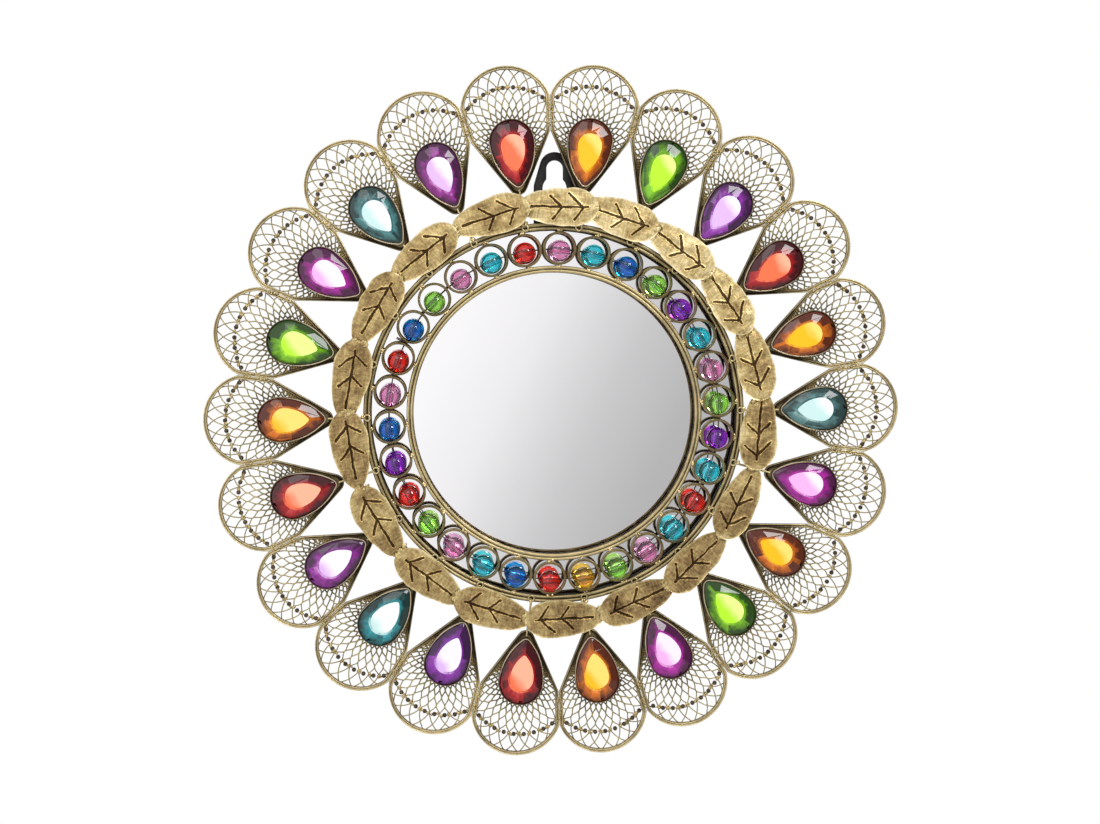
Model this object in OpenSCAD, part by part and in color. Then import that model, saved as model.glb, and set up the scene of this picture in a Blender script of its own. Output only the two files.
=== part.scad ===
// Round wall mirror: a pane in a tray, a band of ringed beads, a garland of leaves
// and a ring of pierced petals with pear-shaped stones.

/* [Tray and pane] */
// Sheet thickness of the tray
tray_wall = 0.8; // [0.6:0.1:1]
// Radius of the tray's rolled rear corner
tray_corner_r = 2.5; // [1.5:0.1:3]
// Thickness of the foam pad behind the pane
pad_t = 1.5; // [1:0.1:3]
// Thickness of the mirror pane
pane_t = 3; // [2:0.1:5]
// Radial room round the pane in its tray
pane_room = 0.7; // [0.3:0.1:1.5]

/* [Bead band] */
// Number of rings, each with one bead
ring_count = 30; // [26:1:34]
// How far the middle of the band stands in front of the pane
band_standoff = 8.5; // [8:0.1:12]
// Turn of the whole band, clockwise from the top
ring_turn = 1.7; // [0:0.1:11]
// Diameter of a bead
bead_d = 12; // [11:0.1:13]
// Diameter of the hole through a bead
bead_bore_d = 2.9; // [2.7:0.1:3.2]
// Radial room round a bead in its ring
bead_room = 1.85; // [1.7:0.05:2]
// Gap left under a bead where it hangs lowest in its ring
bead_gap = 0.35; // [0.3:0.05:0.5]
// Wall of a ring
ring_wall = 1.4; // [1.2:0.1:1.8]
// Depth of a ring, front to back
ring_depth = 3.6; // [3.4:0.1:4.4]
// Gap between neighbouring rings
ring_gap = 0.7; // [0.7:0.05:1]
// Diameter of the threading wire
string_d = 0.5; // [0.4:0.05:0.6]
// Length of the threading wire's long loose end
string_tail_l = 6; // [4:0.5:9]
// Diameter of the inner hoop's two wires
inner_wire_d = 1.95; // [1.6:0.05:2.4]
// Diameter of the outer hoop's two wires
outer_wire_d = 2.2; // [1.8:0.05:2.6]
// Gap that solder fills between a ring and a hoop
solder_gap = 0.45; // [0.4:0.05:0.7]

/* [Garland] */
// Length of a leaf
leaf_l = 44; // [43:0.5:46]
// Greatest width of a leaf
leaf_w = 22; // [18:0.5:23]
// Sheet thickness of a leaf
leaf_t = 0.8; // [0.6:0.1:0.9]
// How far a leaf's rounded base stands forward of its tip, as a tilt
leaf_tilt = 2.5; // [2.3:0.1:3.5]
// How far a leaf laps over the outer hoop
leaf_lap = 2.6; // [1:0.1:3]
// Width of the chiselled veins
vein_w = 0.9; // [0.5:0.1:1.2]
// Depth of the chiselled veins
vein_depth = 0.35; // [0.2:0.05:0.45]
// Diameter of the rod behind the leaves
garland_rod_d = 3; // [2:0.1:4]

/* [Petals] */
// Number of petals, each with one stone
petal_count = 22; // [20:1:24]
// Turn of the first petal, clockwise from the top
petal_first = 7.3; // [0:0.1:16]
// Distance from a petal's tip to the middle of its round end
petal_reach = 45.3; // [44:0.1:48]
// Radius of a petal's tip
petal_tip_round = 5; // [4:0.1:6]
// How far a petal's round end is pressed flat by its neighbour
petal_press = 1.8; // [1.2:0.1:2.4]
// How far a petal's tip reaches under the leaves
petal_tip_lap = 3; // [2:0.1:4]
// Gap between neighbouring petals
petal_gap = 0.3; // [0.2:0.05:0.5]
// Thickness of the strip round a petal
rim_wall = 1.5; // [1.2:0.1:1.8]
// Depth of the strip round a petal, front to back
rim_depth = 3; // [2.5:0.1:4]
// Thickness of the pierced sheet
net_t = 0.8; // [0.5:0.1:1.2]
// How far the pierced sheet sits in from the strip's rear edge
net_setback = 0.3; // [0.1:0.1:1]
// Width of the strands between the openings of the sheet
strand_w = 0.7; // [0.5:0.05:1]
// Radius of the arc of studs, from the middle of the stone's round end
stud_arc_r = 30; // [29:0.1:31]
// Number of studs on a petal
stud_count = 9; // [7:2:11]
// Room between the outermost stud and the strip
stud_room = 1.4; // [0.8:0.1:2]
// Diameter of a stud
stud_d = 2.2; // [1.6:0.1:2.4]
// Diameter of a stem wire
stem_d = 1.2; // [1:0.1:1.5]
// Outer diameter of the curl that ends a stem
curl_d = 4.4; // [3.8:0.1:5]

/* [Stones] */
// Radius of a cup's round end
cup_r = 12.6; // [12:0.1:13]
// Distance from the middle of the round end to the cup's tip
cup_tip = 25.2; // [24:0.1:26]
// Radius of the cup's tip
cup_tip_r = 3; // [2:0.1:4]
// Room between a cup's side and the strip round its petal
cup_room = 0.3; // [0.2:0.05:0.8]
// Wall and floor of a cup
cup_wall = 0.6; // [0.4:0.05:0.8]
// Height of a cup above the pierced sheet
cup_h = 5; // [4:0.1:6]
// Height of the cut crown above the cup's lip
crown_h = 2.5; // [1.5:0.1:3.5]
// Size of a stone's flat table, as a share of its girdle
table_share = 0.54; // [0.45:0.01:0.65]

/* [Hanger] */
// Thickness of the hanger plate
hanger_t = 1.5; // [1.2:0.1:2]
// Sideways place of the hanger
hanger_x = 0.8; // [-2:0.1:2]
// Distance from the tray's edge to the middle of the entry hole
hanger_foot = 20.9; // [20:0.1:22]
// Diameter of the round entry hole
entry_d = 13.4; // [12.6:0.1:15]
// Width of the slot above the entry hole
slot_w = 9.2; // [8:0.1:9.8]
// Distance from the middle of the entry hole to the middle of the slot's arch
slot_rise = 10.9; // [10:0.1:12]
// Width of metal beside the slot's arch
arch_land = 3.8; // [3.5:0.1:5]
// Width of metal above the slot's arch
arch_top = 4.7; // [4:0.1:6]
// Width of metal round the entry hole
entry_land = 5; // [4:0.1:6]

/* [Hidden] */
$fn = 48;

// Colours
brass = "#a08a52";
old_brass = "#6d5c35";
black_steel = "#1d1c1b";
dark_wire = "#2e2620";
hue = [
    ["red", "#c01822"], ["amber", "#d98a10"], ["green", "#5fae1c"], ["purple", "#7b2a9c"],
    ["magenta", "#b5389e"], ["teal", "#1fa0b8"], ["blue", "#1450b4"], ["pink", "#d977b4"]
];
stone_order = [
    "amber", "green", "purple", "red", "amber", "teal", "magenta", "amber", "green", "magenta",
    "amber", "red", "purple", "teal", "purple", "red", "amber", "green", "magenta", "teal",
    "purple", "red"
];
bead_order = [
    "pink", "teal", "blue", "green", "purple", "teal", "pink", "green", "purple", "teal",
    "red", "teal", "pink", "green", "amber", "red", "blue", "teal", "pink", "green",
    "red", "purple", "blue", "pink", "red", "blue", "green", "pink", "teal", "red"
];

// Clearances and small fixed sizes
film = 0.05;
seat = 0.1;
pad_room = 0.4;
bore_run = 0.15;
hole_run = 0.1;
stud_edge = 0.3;
solder_inset = 0.5;
stem_stop = 1;
cut = 1;

// Levels, measured out from the wall
pad_z = tray_wall;
pane_z = pad_z + pad_t;
band_z = pane_z + pane_t + band_standoff;
tray_h = band_z - outer_wire_d / 2 - seat;
stem_z = band_z + outer_wire_d / 2 + seat + stem_d / 2;
rim_z = stem_z - stem_d / 2 - seat - rim_depth;
net_z = rim_z + net_setback;
net_top = net_z + net_t;
garland_z = stem_z - stem_d / 2 - seat - garland_rod_d / 2;
leaf_z = stem_z + stem_d / 2 + seat + sin(leaf_tilt) * leaf_l / 2;

// The bead band, from its rings outwards and inwards
ring_id = bead_d + 2 * bead_room;
ring_od = ring_id + 2 * ring_wall;
ring_step = 360 / ring_count;
band_r = (ring_od + ring_gap) / (2 * sin(ring_step / 2));
inner_edge_r = band_r - ring_od / 2 - solder_gap;
outer_edge_r = band_r + ring_od / 2 + solder_gap;
hoop_mid_r = outer_edge_r + outer_wire_d;
hoop_outer_r = hoop_mid_r + outer_wire_d;
tray_r = hoop_mid_r + tray_wall / 2;
pane_r = tray_r - tray_wall - pane_room;
pad_r = tray_r - tray_corner_r - pad_room;

// How the beads and the threading wire hang
string_r = string_d / 2;
string_bow = band_r - sqrt(band_r * band_r - bead_d * bead_d / 4);
bead_drop = bead_room - bead_gap;
bead_hang = bead_bore_d / 2 - string_r - string_bow - bore_run;
string_drop = bead_drop - bead_hang;
string_hole_r = string_r + string_drop + hole_run;
ring_mid_r = (ring_od + ring_id) / 4;
hole_shift = band_r - sqrt(band_r * band_r - ring_mid_r * ring_mid_r);
tail_ring = 24.5;
tail_lean = 52;

// The garland
leaf_angles = [1, 18.5, 37.5, 56.5, 75.5, 95, 116, 136.5, 156.5,
               177.5, 198, 218, 239, 260.5, 280, 301, 321, 342];
leaf_r = hoop_outer_r + leaf_w / 2 - leaf_lap;
leaf_widest = 0.66;
leaf_fullness = 0.62;
leaf_steps = 16;
vein_forks = [0.03, 0.31];
vein_fork_angle = 40;
vein_fork_l = 0.2;
vein_start = -0.38;
vein_end = 0.36;

// The petals
petal_step = 360 / petal_count;
side_a = petal_step / 2;
petal_tip_r = leaf_r + leaf_w / 2 - petal_tip_lap;
petal_r = petal_tip_r + petal_reach;
petal_round_r = petal_r * sin(side_a) + petal_press;
petal_heel_r = petal_tip_r + petal_tip_round;
flank_a = asin((petal_round_r - petal_tip_round) / (petal_r - petal_heel_r));
flank_meet_r = petal_r - petal_round_r / sin(flank_a);
cup_tip_y = cup_tip - cup_tip_r;
cup_flank_r = (cup_r * cup_r + cup_tip_y * cup_tip_y - cup_tip_r * cup_tip_r)
    / (2 * (cup_r - cup_tip_r));
cup_flank_x = cup_flank_r - cup_r;
cup_flank_a = atan2(cup_tip_y, cup_flank_x);
cup_y = flank_meet_r
    + (cup_flank_r + rim_wall + cup_room - cup_flank_x * cos(flank_a)) / sin(flank_a);
stem_end_r = cup_y - cup_tip - stem_stop;
curl_r = (curl_d - stem_d) / 2;
weld_spots = [-7, 1.5];
weld_r = 1.6;

// The arc of studs spreads until its ends come near the strip
stud_in = rim_wall + stud_d / 2 + stud_room;
cup_lead = petal_r - cup_y;
stud_round_a = acos((stud_arc_r * stud_arc_r + cup_lead * cup_lead - pow(petal_round_r - stud_in, 2))
    / (2 * stud_arc_r * cup_lead));
stud_side_a = side_a + asin((cup_y * sin(side_a) - stud_in - petal_gap / 2) / stud_arc_r);
stud_pitch = 2 * min(stud_round_a, stud_side_a) / (stud_count - 1);

// The pierced sheet
stud_land = stud_d / 2 + stud_edge;
net_inset = rim_wall + film;
net_margin = net_inset + strand_w / 2;
lattice_ratio = 0.82;
lattice_rows = 3;
lattice_sweep = 125;
lattice_top_r = stud_arc_r - stud_land;
least_cell = 1.6;

function bead_name(i) = str("bead_", i < 10 ? "0" : "", i);
function hue_of(name) = [for (h = hue) if (h[0] == name) h[1]][0];
function unit(v) = v / norm(v);
function left_of(v) = [-v[1], v[0]];
function meet(p, u, q, v) = p + u * cross(q - p, v) / cross(u, v);

// A convex outline, anticlockwise, drawn in by w on every side
function drawn_in(points, w) =
    let (n = len(points))
    [for (i = [0:n - 1])
        let (
            a = points[(i + n - 1) % n],
            b = points[i],
            c = points[(i + 1) % n],
            u = unit(b - a),
            v = unit(c - b)
        )
        meet(b + left_of(u) * w, u, b + left_of(v) * w, v)];

// Least height of a convex outline, from any of its sides to the point across from it
function least_height(points) =
    let (n = len(points))
    min([for (i = [0:n - 1])
        let (a = points[i], u = unit(points[(i + 1) % n] - a))
        max([for (p = points) cross(u, p - a)])]);

// Is a point of the petal's own frame at least w inside its outline?
function in_petal(p, w) =
    let (
        x = abs(p[0]),
        side = p[1] * sin(side_a) - x * cos(side_a) - petal_gap / 2,
        along = p[1] * cos(flank_a) + x * sin(flank_a),
        edge = along > petal_r * cos(flank_a) ? petal_round_r - norm([x, p[1] - petal_r])
            : along < petal_heel_r * cos(flank_a) ? petal_tip_round - norm([x, p[1] - petal_heel_r])
            : (p[1] - flank_meet_r) * sin(flank_a) - x * cos(flank_a)
    )
    side >= w && edge >= w;

// Polar points about the middle of the stone's round end, clockwise from outwards
function net_point(r, a) = [r * sin(a), cup_y + r * cos(a)];

// How far out the pierced sheet may be opened at an angle
function net_reach(a) =
    let (
        r = petal_round_r - net_margin,
        round = cup_lead * cos(a) + sqrt(r * r - pow(cup_lead * sin(a), 2)),
        room = cup_y * sin(side_a) - petal_gap / 2 - net_margin,
        lean = sin(abs(a) - side_a)
    )
    lean > 0.05 ? min(round, room / lean) : round;

stud_angles = [for (i = [0:stud_count - 1]) (i - (stud_count - 1) / 2) * stud_pitch];
half = stud_pitch / 2;
crown_r = stud_arc_r + stud_land;

function arc_point(a) = net_point(crown_r, a);
function edge_point(a) = net_point(net_reach(a), a);
function crossing(a) =
    let (p = arc_point(a - half), q = arc_point(a + half))
    meet(p, edge_point(a + half) - p, q, edge_point(a - half) - q);

outer_cells = concat(
    [for (a = stud_angles) [arc_point(a + half), crossing(a), arc_point(a - half)]],
    [for (a = stud_angles) [edge_point(a - half), crossing(a), edge_point(a + half)]],
    [for (a = stud_angles)
        if (a > stud_angles[0])
            [edge_point(a - half), crossing(a - stud_pitch), arc_point(a - half), crossing(a)]]
);

function level(i) = lattice_top_r * pow(lattice_ratio, i);
inner_cells = concat(
    [for (a = stud_angles)
        [net_point(level(0), a + half), net_point(level(0), a - half), net_point(level(1), a)]],
    [for (row = [1:lattice_rows], k = [-12:12])
        let (a = (k + (row % 2) / 2) * stud_pitch)
        if (abs(a) <= lattice_sweep)
            [net_point(level(row - 1), a), net_point(level(row), a - half),
             net_point(level(row + 1), a), net_point(level(row), a + half)]]
);

function in_sheet(points) =
    len([for (p = points) if (!in_petal(p, net_inset + strand_w / 2 - film)) p]) == 0;
net_cells = [
    for (c = concat(outer_cells, inner_cells))
        if (least_height(c) > least_cell && in_sheet(c)) drawn_in(c, strand_w / 2)
];

// Outline of a pear-shaped stone, anticlockwise, drawn in by w, the tip one corner
pear_round_steps = 8;
pear_flank_steps = 4;
pear_sides = pear_round_steps + 2 * pear_flank_steps + 2;
crown_bend = [0.42, 0.68];
function pear_points(w) =
    let (
        r = cup_r - w,
        f = cup_flank_r - w,
        step = cup_flank_a / pear_flank_steps
    )
    concat(
        [for (i = [0:pear_round_steps])
            r * [cos(180 * i / pear_round_steps), sin(180 * i / pear_round_steps)]],
        [for (i = [1:pear_flank_steps]) [cup_flank_x - f * cos(step * i), -f * sin(step * i)]],
        [[0, w - cup_tip]],
        [for (i = [pear_flank_steps:-1:1]) [f * cos(step * i) - cup_flank_x, -f * sin(step * i)]]
    );

// Half width of a leaf, s running from its tip at 0 to its base at 1
function leaf_half(s) = leaf_w / 2 * (s < leaf_widest
    ? pow(sin(90 * s / leaf_widest), leaf_fullness)
    : sqrt(1 - pow((s - leaf_widest) / (1 - leaf_widest), 2)));
function leaf_share(i) = (1 - cos(180 * i / leaf_steps)) / 2;
leaf_outline = concat(
    [[-leaf_l / 2, 0]],
    [for (i = [1:leaf_steps - 1])
        let (s = leaf_share(i)) [(s - 0.5) * leaf_l, -leaf_half(s)]],
    [[leaf_l / 2, 0]],
    [for (i = [leaf_steps - 1:-1:1])
        let (s = leaf_share(i)) [(s - 0.5) * leaf_l, leaf_half(s)]]
);

// Lays a drawing that has x to the right, y up and z out of the wall on the wall
module on_wall() {
    rotate([90, 0, 0]) children();
}

// Turns a piece clockwise from the top
module at_angle(a) {
    rotate([0, 0, -a]) children();
}

module at_petal(k) {
    at_angle(petal_first + k * petal_step) children();
}

module wire_ring(r, d, z) {
    translate([0, 0, z]) rotate_extrude($fn = 120) translate([r, 0]) circle(d = d);
}

// Profile of the tray with its corner rounded, from the axis out
module tray_profile(r, h, corner) {
    square([r - corner, h]);
    translate([0, corner]) square([r, h - corner]);
    translate([r - corner, corner]) circle(corner);
}

module mirror_tray() {
    color(black_steel) on_wall() rotate_extrude($fn = 120) difference() {
        tray_profile(tray_r, tray_h, tray_corner_r);
        translate([0, tray_wall])
            tray_profile(tray_r - tray_wall, tray_h, tray_corner_r - tray_wall);
    }
}

module backing_pad() {
    color("#4a4a48") on_wall() translate([0, 0, pad_z])
        cylinder(r = pad_r, h = pad_t, $fn = 120);
}

module mirror_pane() {
    color("#cfd3d6") on_wall() translate([0, 0, pane_z])
        cylinder(r = pane_r, h = pane_t, $fn = 120);
}

module outer_hoop() {
    color(brass) on_wall() {
        wire_ring(outer_edge_r + outer_wire_d / 2, outer_wire_d - film, band_z);
        wire_ring(hoop_outer_r - outer_wire_d / 2, outer_wire_d - film, band_z);
    }
}

module inner_hoop() {
    color(brass) on_wall() {
        wire_ring(inner_edge_r - inner_wire_d / 2, inner_wire_d - film, band_z);
        wire_ring(inner_edge_r - 1.5 * inner_wire_d, inner_wire_d - film, band_z);
    }
}

// A ring in its own frame: its middle at the origin, x along the threading wire
module bead_ring() {
    difference() {
        cylinder(d = ring_od, h = ring_depth, center = true);
        cylinder(d = ring_id, h = ring_depth + cut, center = true);
        translate([0, -hole_shift, 0]) rotate([0, 90, 0])
            cylinder(r = string_hole_r, h = ring_od + cut, center = true);
    }
}

module bead_rings() {
    color(brass) on_wall() for (i = [0:ring_count - 1])
        at_angle(ring_turn + i * ring_step) translate([0, band_r, band_z]) bead_ring();
}

module band_solder() {
    pin_r = solder_gap / 2 - film / 2;
    color(brass) on_wall() for (i = [0:ring_count - 1]) at_angle(ring_turn + i * ring_step)
        for (y = [inner_edge_r + solder_gap / 2, outer_edge_r - solder_gap / 2])
            translate([0, y, band_z]) cylinder(r = pin_r, h = ring_depth - 2 * solder_inset, center = true);
}

// The threading wire and the twist where its two loose ends meet. The wire hangs lower than
// the band, so the twist moves along it to stand in the middle of the gap between two rings
module bead_wire() {
    tail_a = ring_turn + tail_ring * ring_step;
    tail_shift = asin(string_drop * sin(tail_a) / band_r);
    color(dark_wire) on_wall() translate([0, -string_drop, band_z]) {
        wire_ring(band_r, string_d, 0);
        at_angle(tail_a - tail_shift) translate([0, band_r, 0]) {
            sphere(string_d);
            rotate([-tail_lean, 0, 0]) cylinder(r = string_r, h = string_tail_l);
            rotate([tail_lean / 2, 0, 0]) cylinder(r = string_r, h = string_tail_l / 2);
        }
    }
}

// A bead hangs straight down in its ring, whatever the ring's place on the band
module bead(i) {
    a = ring_turn + (i - 1) * ring_step;
    color(hue_of(bead_order[(i - 1) % len(bead_order)])) on_wall()
        translate([0, -bead_drop, 0]) at_angle(a) translate([0, band_r, band_z])
            rotate([0, 90, 0]) rotate_extrude() difference() {
                circle(d = bead_d);
                translate([-bead_d, -bead_d]) square([bead_d + bead_bore_d / 2, 2 * bead_d]);
            }
}

module garland_hoop() {
    color(old_brass) on_wall() wire_ring(leaf_r, garland_rod_d, garland_z);
}

// One leaf in its own frame: tip at -x, rounded base at +x, rear face at z 0
module leaf() {
    module vein(x, a, length) {
        translate([x * leaf_l, 0, leaf_t - vein_depth]) rotate([0, 0, a])
            translate([0, -vein_w / 2, 0]) cube([length * leaf_l, vein_w, vein_depth + cut]);
    }
    difference() {
        linear_extrude(leaf_t) polygon(leaf_outline);
        vein(vein_start, 0, vein_end - vein_start);
        for (x = vein_forks, side = [-1, 1]) vein(x, 180 - side * vein_fork_angle, vein_fork_l);
    }
}

module garland_leaves() {
    color(brass) on_wall() for (a = leaf_angles) at_angle(a)
        translate([0, leaf_r, leaf_z]) rotate([0, -leaf_tilt, 0]) leaf();
}

module petal_stems() {
    color(brass) on_wall() for (k = [0:petal_count - 1]) at_petal(k)
        translate([0, hoop_mid_r, stem_z]) {
            rotate_extrude() translate([curl_r, 0]) circle(d = stem_d);
            translate([0, curl_r, 0]) rotate([-90, 0, 0])
                cylinder(d = stem_d, h = stem_end_r - hoop_mid_r - curl_r);
        }
}

// Outline of a petal, drawn in by w: a round end, two straight flanks to a small round
// tip, and flats where the neighbours press against it. The flanks end a film inside the
// tip's round, so that they cross it and don't only touch it
module petal_outline(w) {
    r = petal_round_r - w;
    t = petal_tip_round - w - film;
    side = 2 * petal_r;
    corner_y = (petal_gap / 2 + w) / sin(side_a);
    intersection() {
        union() {
            translate([0, petal_r]) circle(r, $fn = 96);
            translate([0, petal_heel_r]) circle(t + film);
            polygon([
                [t * cos(flank_a), petal_heel_r - t * sin(flank_a)],
                [r * cos(flank_a), petal_r - r * sin(flank_a)],
                [0, petal_r],
                [-r * cos(flank_a), petal_r - r * sin(flank_a)],
                [-t * cos(flank_a), petal_heel_r - t * sin(flank_a)]
            ]);
        }
        polygon([
            [0, corner_y],
            [side * sin(side_a), corner_y + side * cos(side_a)],
            [-side * sin(side_a), corner_y + side * cos(side_a)]
        ]);
    }
}

module petal_rims() {
    color(brass) on_wall() for (k = [0:petal_count - 1]) at_petal(k)
        translate([0, 0, rim_z]) linear_extrude(rim_depth) difference() {
            petal_outline(0);
            petal_outline(rim_wall);
        }
}

module petal_nets() {
    color(old_brass) on_wall() for (k = [0:petal_count - 1]) at_petal(k)
        translate([0, 0, net_z]) linear_extrude(net_t) difference() {
            petal_outline(net_inset);
            for (c = net_cells) polygon(c);
        }
}

// A low dome that stands on z 0
module dome(r, h) {
    ball = (r * r + h * h) / (2 * h);
    intersection() {
        translate([0, 0, h - ball]) sphere(ball);
        cylinder(r = r + cut, h = h + cut);
    }
}

module petal_studs() {
    color(dark_wire) on_wall() for (k = [0:petal_count - 1]) at_petal(k)
        for (a = stud_angles) translate(concat(net_point(stud_arc_r, a), net_top + film))
            dome(stud_d / 2, stud_d / 3);
}

module petal_solder() {
    color(brass) on_wall() for (k = [0:petal_count - 1]) at_petal(k + 0.5)
        for (y = weld_spots) translate([0, petal_r + y, rim_z + rim_depth + film])
            dome(weld_r, weld_r / 2);
}

// Outline of a cup, drawn in by w, with its round end about the origin: two long arcs
// run from the round end to the small round of the tip
module pear(w) {
    f = cup_flank_r - w;
    flank_l = f * sin(cup_flank_a);
    circle(cup_r - w, $fn = 96);
    intersection() {
        translate([cup_flank_x, 0]) circle(f, $fn = 180);
        translate([-cup_flank_x, 0]) circle(f, $fn = 180);
        translate([-cup_r, -flank_l]) square([2 * cup_r, flank_l]);
    }
    translate([0, -cup_tip_y]) circle(cup_tip_r - w);
}

module stone_cups() {
    color(old_brass) on_wall() for (k = [0:petal_count - 1]) at_petal(k)
        translate([0, cup_y, net_top + film]) difference() {
            linear_extrude(cup_h) pear(0);
            translate([0, 0, cup_wall]) linear_extrude(cup_h) pear(cup_wall);
        }
}

// A cut stone that stands on z 0: straight to its girdle, then two slopes up to the table.
// A tier is its share of the girdle's size and its height
module stone() {
    girdle = cup_h - cup_wall - seat;
    tiers = [
        [1, 0], [1, girdle],
        [1 - crown_bend[0] * (1 - table_share), girdle + crown_bend[1] * crown_h],
        [table_share, girdle + crown_h]
    ];
    n = pear_sides;
    middle = [0, (cup_r - cup_tip) / 2];
    outline = pear_points(cup_wall + seat);
    points = [for (t = tiers) for (p = outline)
        concat(middle + t[0] * (p - middle), t[1])];
    polyhedron(points, concat(
        [[for (j = [0:n - 1]) j]],
        [for (i = [0:len(tiers) - 2], j = [0:n - 1])
            [i * n + j, (i + 1) * n + j, (i + 1) * n + (j + 1) % n]],
        [for (i = [0:len(tiers) - 2], j = [0:n - 1])
            [i * n + j, (i + 1) * n + (j + 1) % n, i * n + (j + 1) % n]],
        [[for (j = [n - 1:-1:0]) (len(tiers) - 1) * n + j]]
    ));
}

module stones(name) {
    color(hue_of(name)) on_wall() for (k = [0:petal_count - 1])
        if (stone_order[k % len(stone_order)] == name) at_petal(k)
            translate([0, cup_y, net_top + cup_wall + 2 * film]) stone();
}

// The plate's outline: a narrow arch over a wide eye, and a foot that hugs the tray
module hanger_outline() {
    eye_r = entry_d / 2 + entry_land;
    arch_r = slot_w / 2 + arch_land;
    arch_y = slot_rise + arch_top - arch_land;
    lean = asin((eye_r - arch_r) / arch_y);
    edge = [cos(lean), sin(lean)];
    eye = tray_r + hanger_foot;
    translate([0, eye]) {
        circle(eye_r);
        translate([0, arch_y]) circle(arch_r);
        polygon([
            [eye_r * edge[0], eye_r * edge[1]],
            [arch_r * edge[0], arch_y + arch_r * edge[1]],
            [-arch_r * edge[0], arch_y + arch_r * edge[1]],
            [-eye_r * edge[0], eye_r * edge[1]]
        ]);
        translate([-eye_r, -hanger_foot - eye_r]) square([2 * eye_r, hanger_foot + eye_r]);
    }
}

module hanger_plate() {
    eye = tray_r + hanger_foot;
    color(black_steel) on_wall() difference() {
        translate([hanger_x, 0, 0]) linear_extrude(hanger_t) hanger_outline();
        translate([0, 0, -cut]) cylinder(r = tray_r + film, h = hanger_t + 2 * cut, $fn = 120);
        translate([hanger_x, eye, -cut]) {
            cylinder(d = entry_d, h = hanger_t + 2 * cut);
            translate([0, slot_rise, 0]) cylinder(d = slot_w, h = hanger_t + 2 * cut);
            translate([-slot_w / 2, 0, 0]) cube([slot_w, slot_rise, hanger_t + 2 * cut]);
        }
    }
}

mirror_tray();
backing_pad();
mirror_pane();
outer_hoop();
inner_hoop();
bead_rings();
band_solder();
bead_wire();
garland_hoop();
garland_leaves();
petal_stems();
petal_rims();
petal_nets();
petal_studs();
petal_solder();
stone_cups();
stones("red");  // stones_red
stones("amber");  // stones_amber
stones("green");  // stones_green
stones("purple");  // stones_purple
stones("magenta");  // stones_magenta
stones("teal");  // stones_teal
hanger_plate();
for (i = [1:ring_count]) bead(i);
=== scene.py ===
"""Round wall mirror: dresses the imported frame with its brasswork, leaves, lace, beads and stones."""
import math
import random

import bmesh
import bpy
from mathutils import Matrix, Vector, noise


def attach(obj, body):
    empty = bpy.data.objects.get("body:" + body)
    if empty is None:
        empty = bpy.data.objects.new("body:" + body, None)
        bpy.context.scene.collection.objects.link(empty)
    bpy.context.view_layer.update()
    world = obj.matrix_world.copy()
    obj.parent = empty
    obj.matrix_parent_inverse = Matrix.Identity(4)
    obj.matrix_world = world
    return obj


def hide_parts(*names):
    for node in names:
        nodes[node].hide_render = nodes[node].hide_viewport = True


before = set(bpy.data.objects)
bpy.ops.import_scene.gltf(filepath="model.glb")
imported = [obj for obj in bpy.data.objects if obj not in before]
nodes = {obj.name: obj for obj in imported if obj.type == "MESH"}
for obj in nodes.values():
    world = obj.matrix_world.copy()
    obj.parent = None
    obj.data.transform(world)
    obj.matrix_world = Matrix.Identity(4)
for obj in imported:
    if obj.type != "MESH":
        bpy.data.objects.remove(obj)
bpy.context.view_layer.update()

# Sizes, in millimetres and degrees
# a height ending in _Z counts out from the wall, and angles run clockwise from twelve o'clock
MM = 0.001
BAND_Z = 13.8
RING_COUNT = 30
RING_TURN = 1.7
RING_STEP = 360 / RING_COUNT
RING_PITCH = 19.2
RING_OD = 18.5
RING_WALL = 1.4
RING_DEPTH = 3.6
RING_TO_HOOP = 0.45
BAND_R = RING_PITCH / (2 * math.sin(math.radians(RING_STEP / 2)))
BEAD_D = 12.0
BEAD_BORE = 2.9
BEAD_DROP = 1.5
WIRE_R = 0.34
WIRE_DROP = 0.646
HOOP_HALF = 2.2
HOOP_MID_R = BAND_R + RING_OD / 2 + RING_TO_HOOP + HOOP_HALF
LEAF_L = 44.0
LEAF_W = 22.0
LEAF_T = 0.8
LEAF_OVER_HOOP = 2.6
LEAF_JOINT_AT = 0.455
LEAF_R = HOOP_MID_R + HOOP_HALF + LEAF_W / 2 - LEAF_OVER_HOOP
LEAF_Z = 17.26
LEAF_TILT = 2.5
LEAF_ANGLES = (1, 18.5, 37.5, 56.5, 75.5, 95, 116, 136.5, 156.5,
               177.5, 198, 218, 239, 260.5, 280, 301, 321, 342)
PETAL_COUNT = 22
PETAL_FIRST = 7.3
PETAL_STEP = 360 / PETAL_COUNT
PETAL_TIP = 122.34
PETAL_REACH = 45.3
PETAL_R = PETAL_TIP + PETAL_REACH
PETAL_TIP_ROUND = 5.0
PETAL_HEEL = PETAL_TIP + PETAL_TIP_ROUND
PETAL_SWELL = 1.8
PETAL_ROUND = PETAL_R * math.sin(math.radians(PETAL_STEP / 2)) + PETAL_SWELL
PETAL_GAP = 0.3
RIM_WALL = 1.5
RIM_Z = 11.9
RIM_DEPTH = 3.0
NET_Z = 12.2
NET_TOP = 13.0
CUP_R = 12.6
CUP_TIP = 25.2
CUP_TIP_R = 3.0
CUP_Y = 151.43
CUP_WALL = 0.6
CUP_TOP = 18.05
CUP_TIP_FROM = 162
CUP_TIP_Y = CUP_TIP - CUP_TIP_R
CUP_FLANK = (CUP_R ** 2 + CUP_TIP_Y ** 2 - CUP_TIP_R ** 2) / (2 * (CUP_R - CUP_TIP_R))
CUP_FLANK_X = CUP_FLANK - CUP_R
CUP_FLANK_A = math.atan2(CUP_TIP_Y, CUP_FLANK_X)
STUD_ARC = 30.0
STUD_PITCH = 10.91
STUD_D = 2.5
STUD_COUNT = 9
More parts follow.
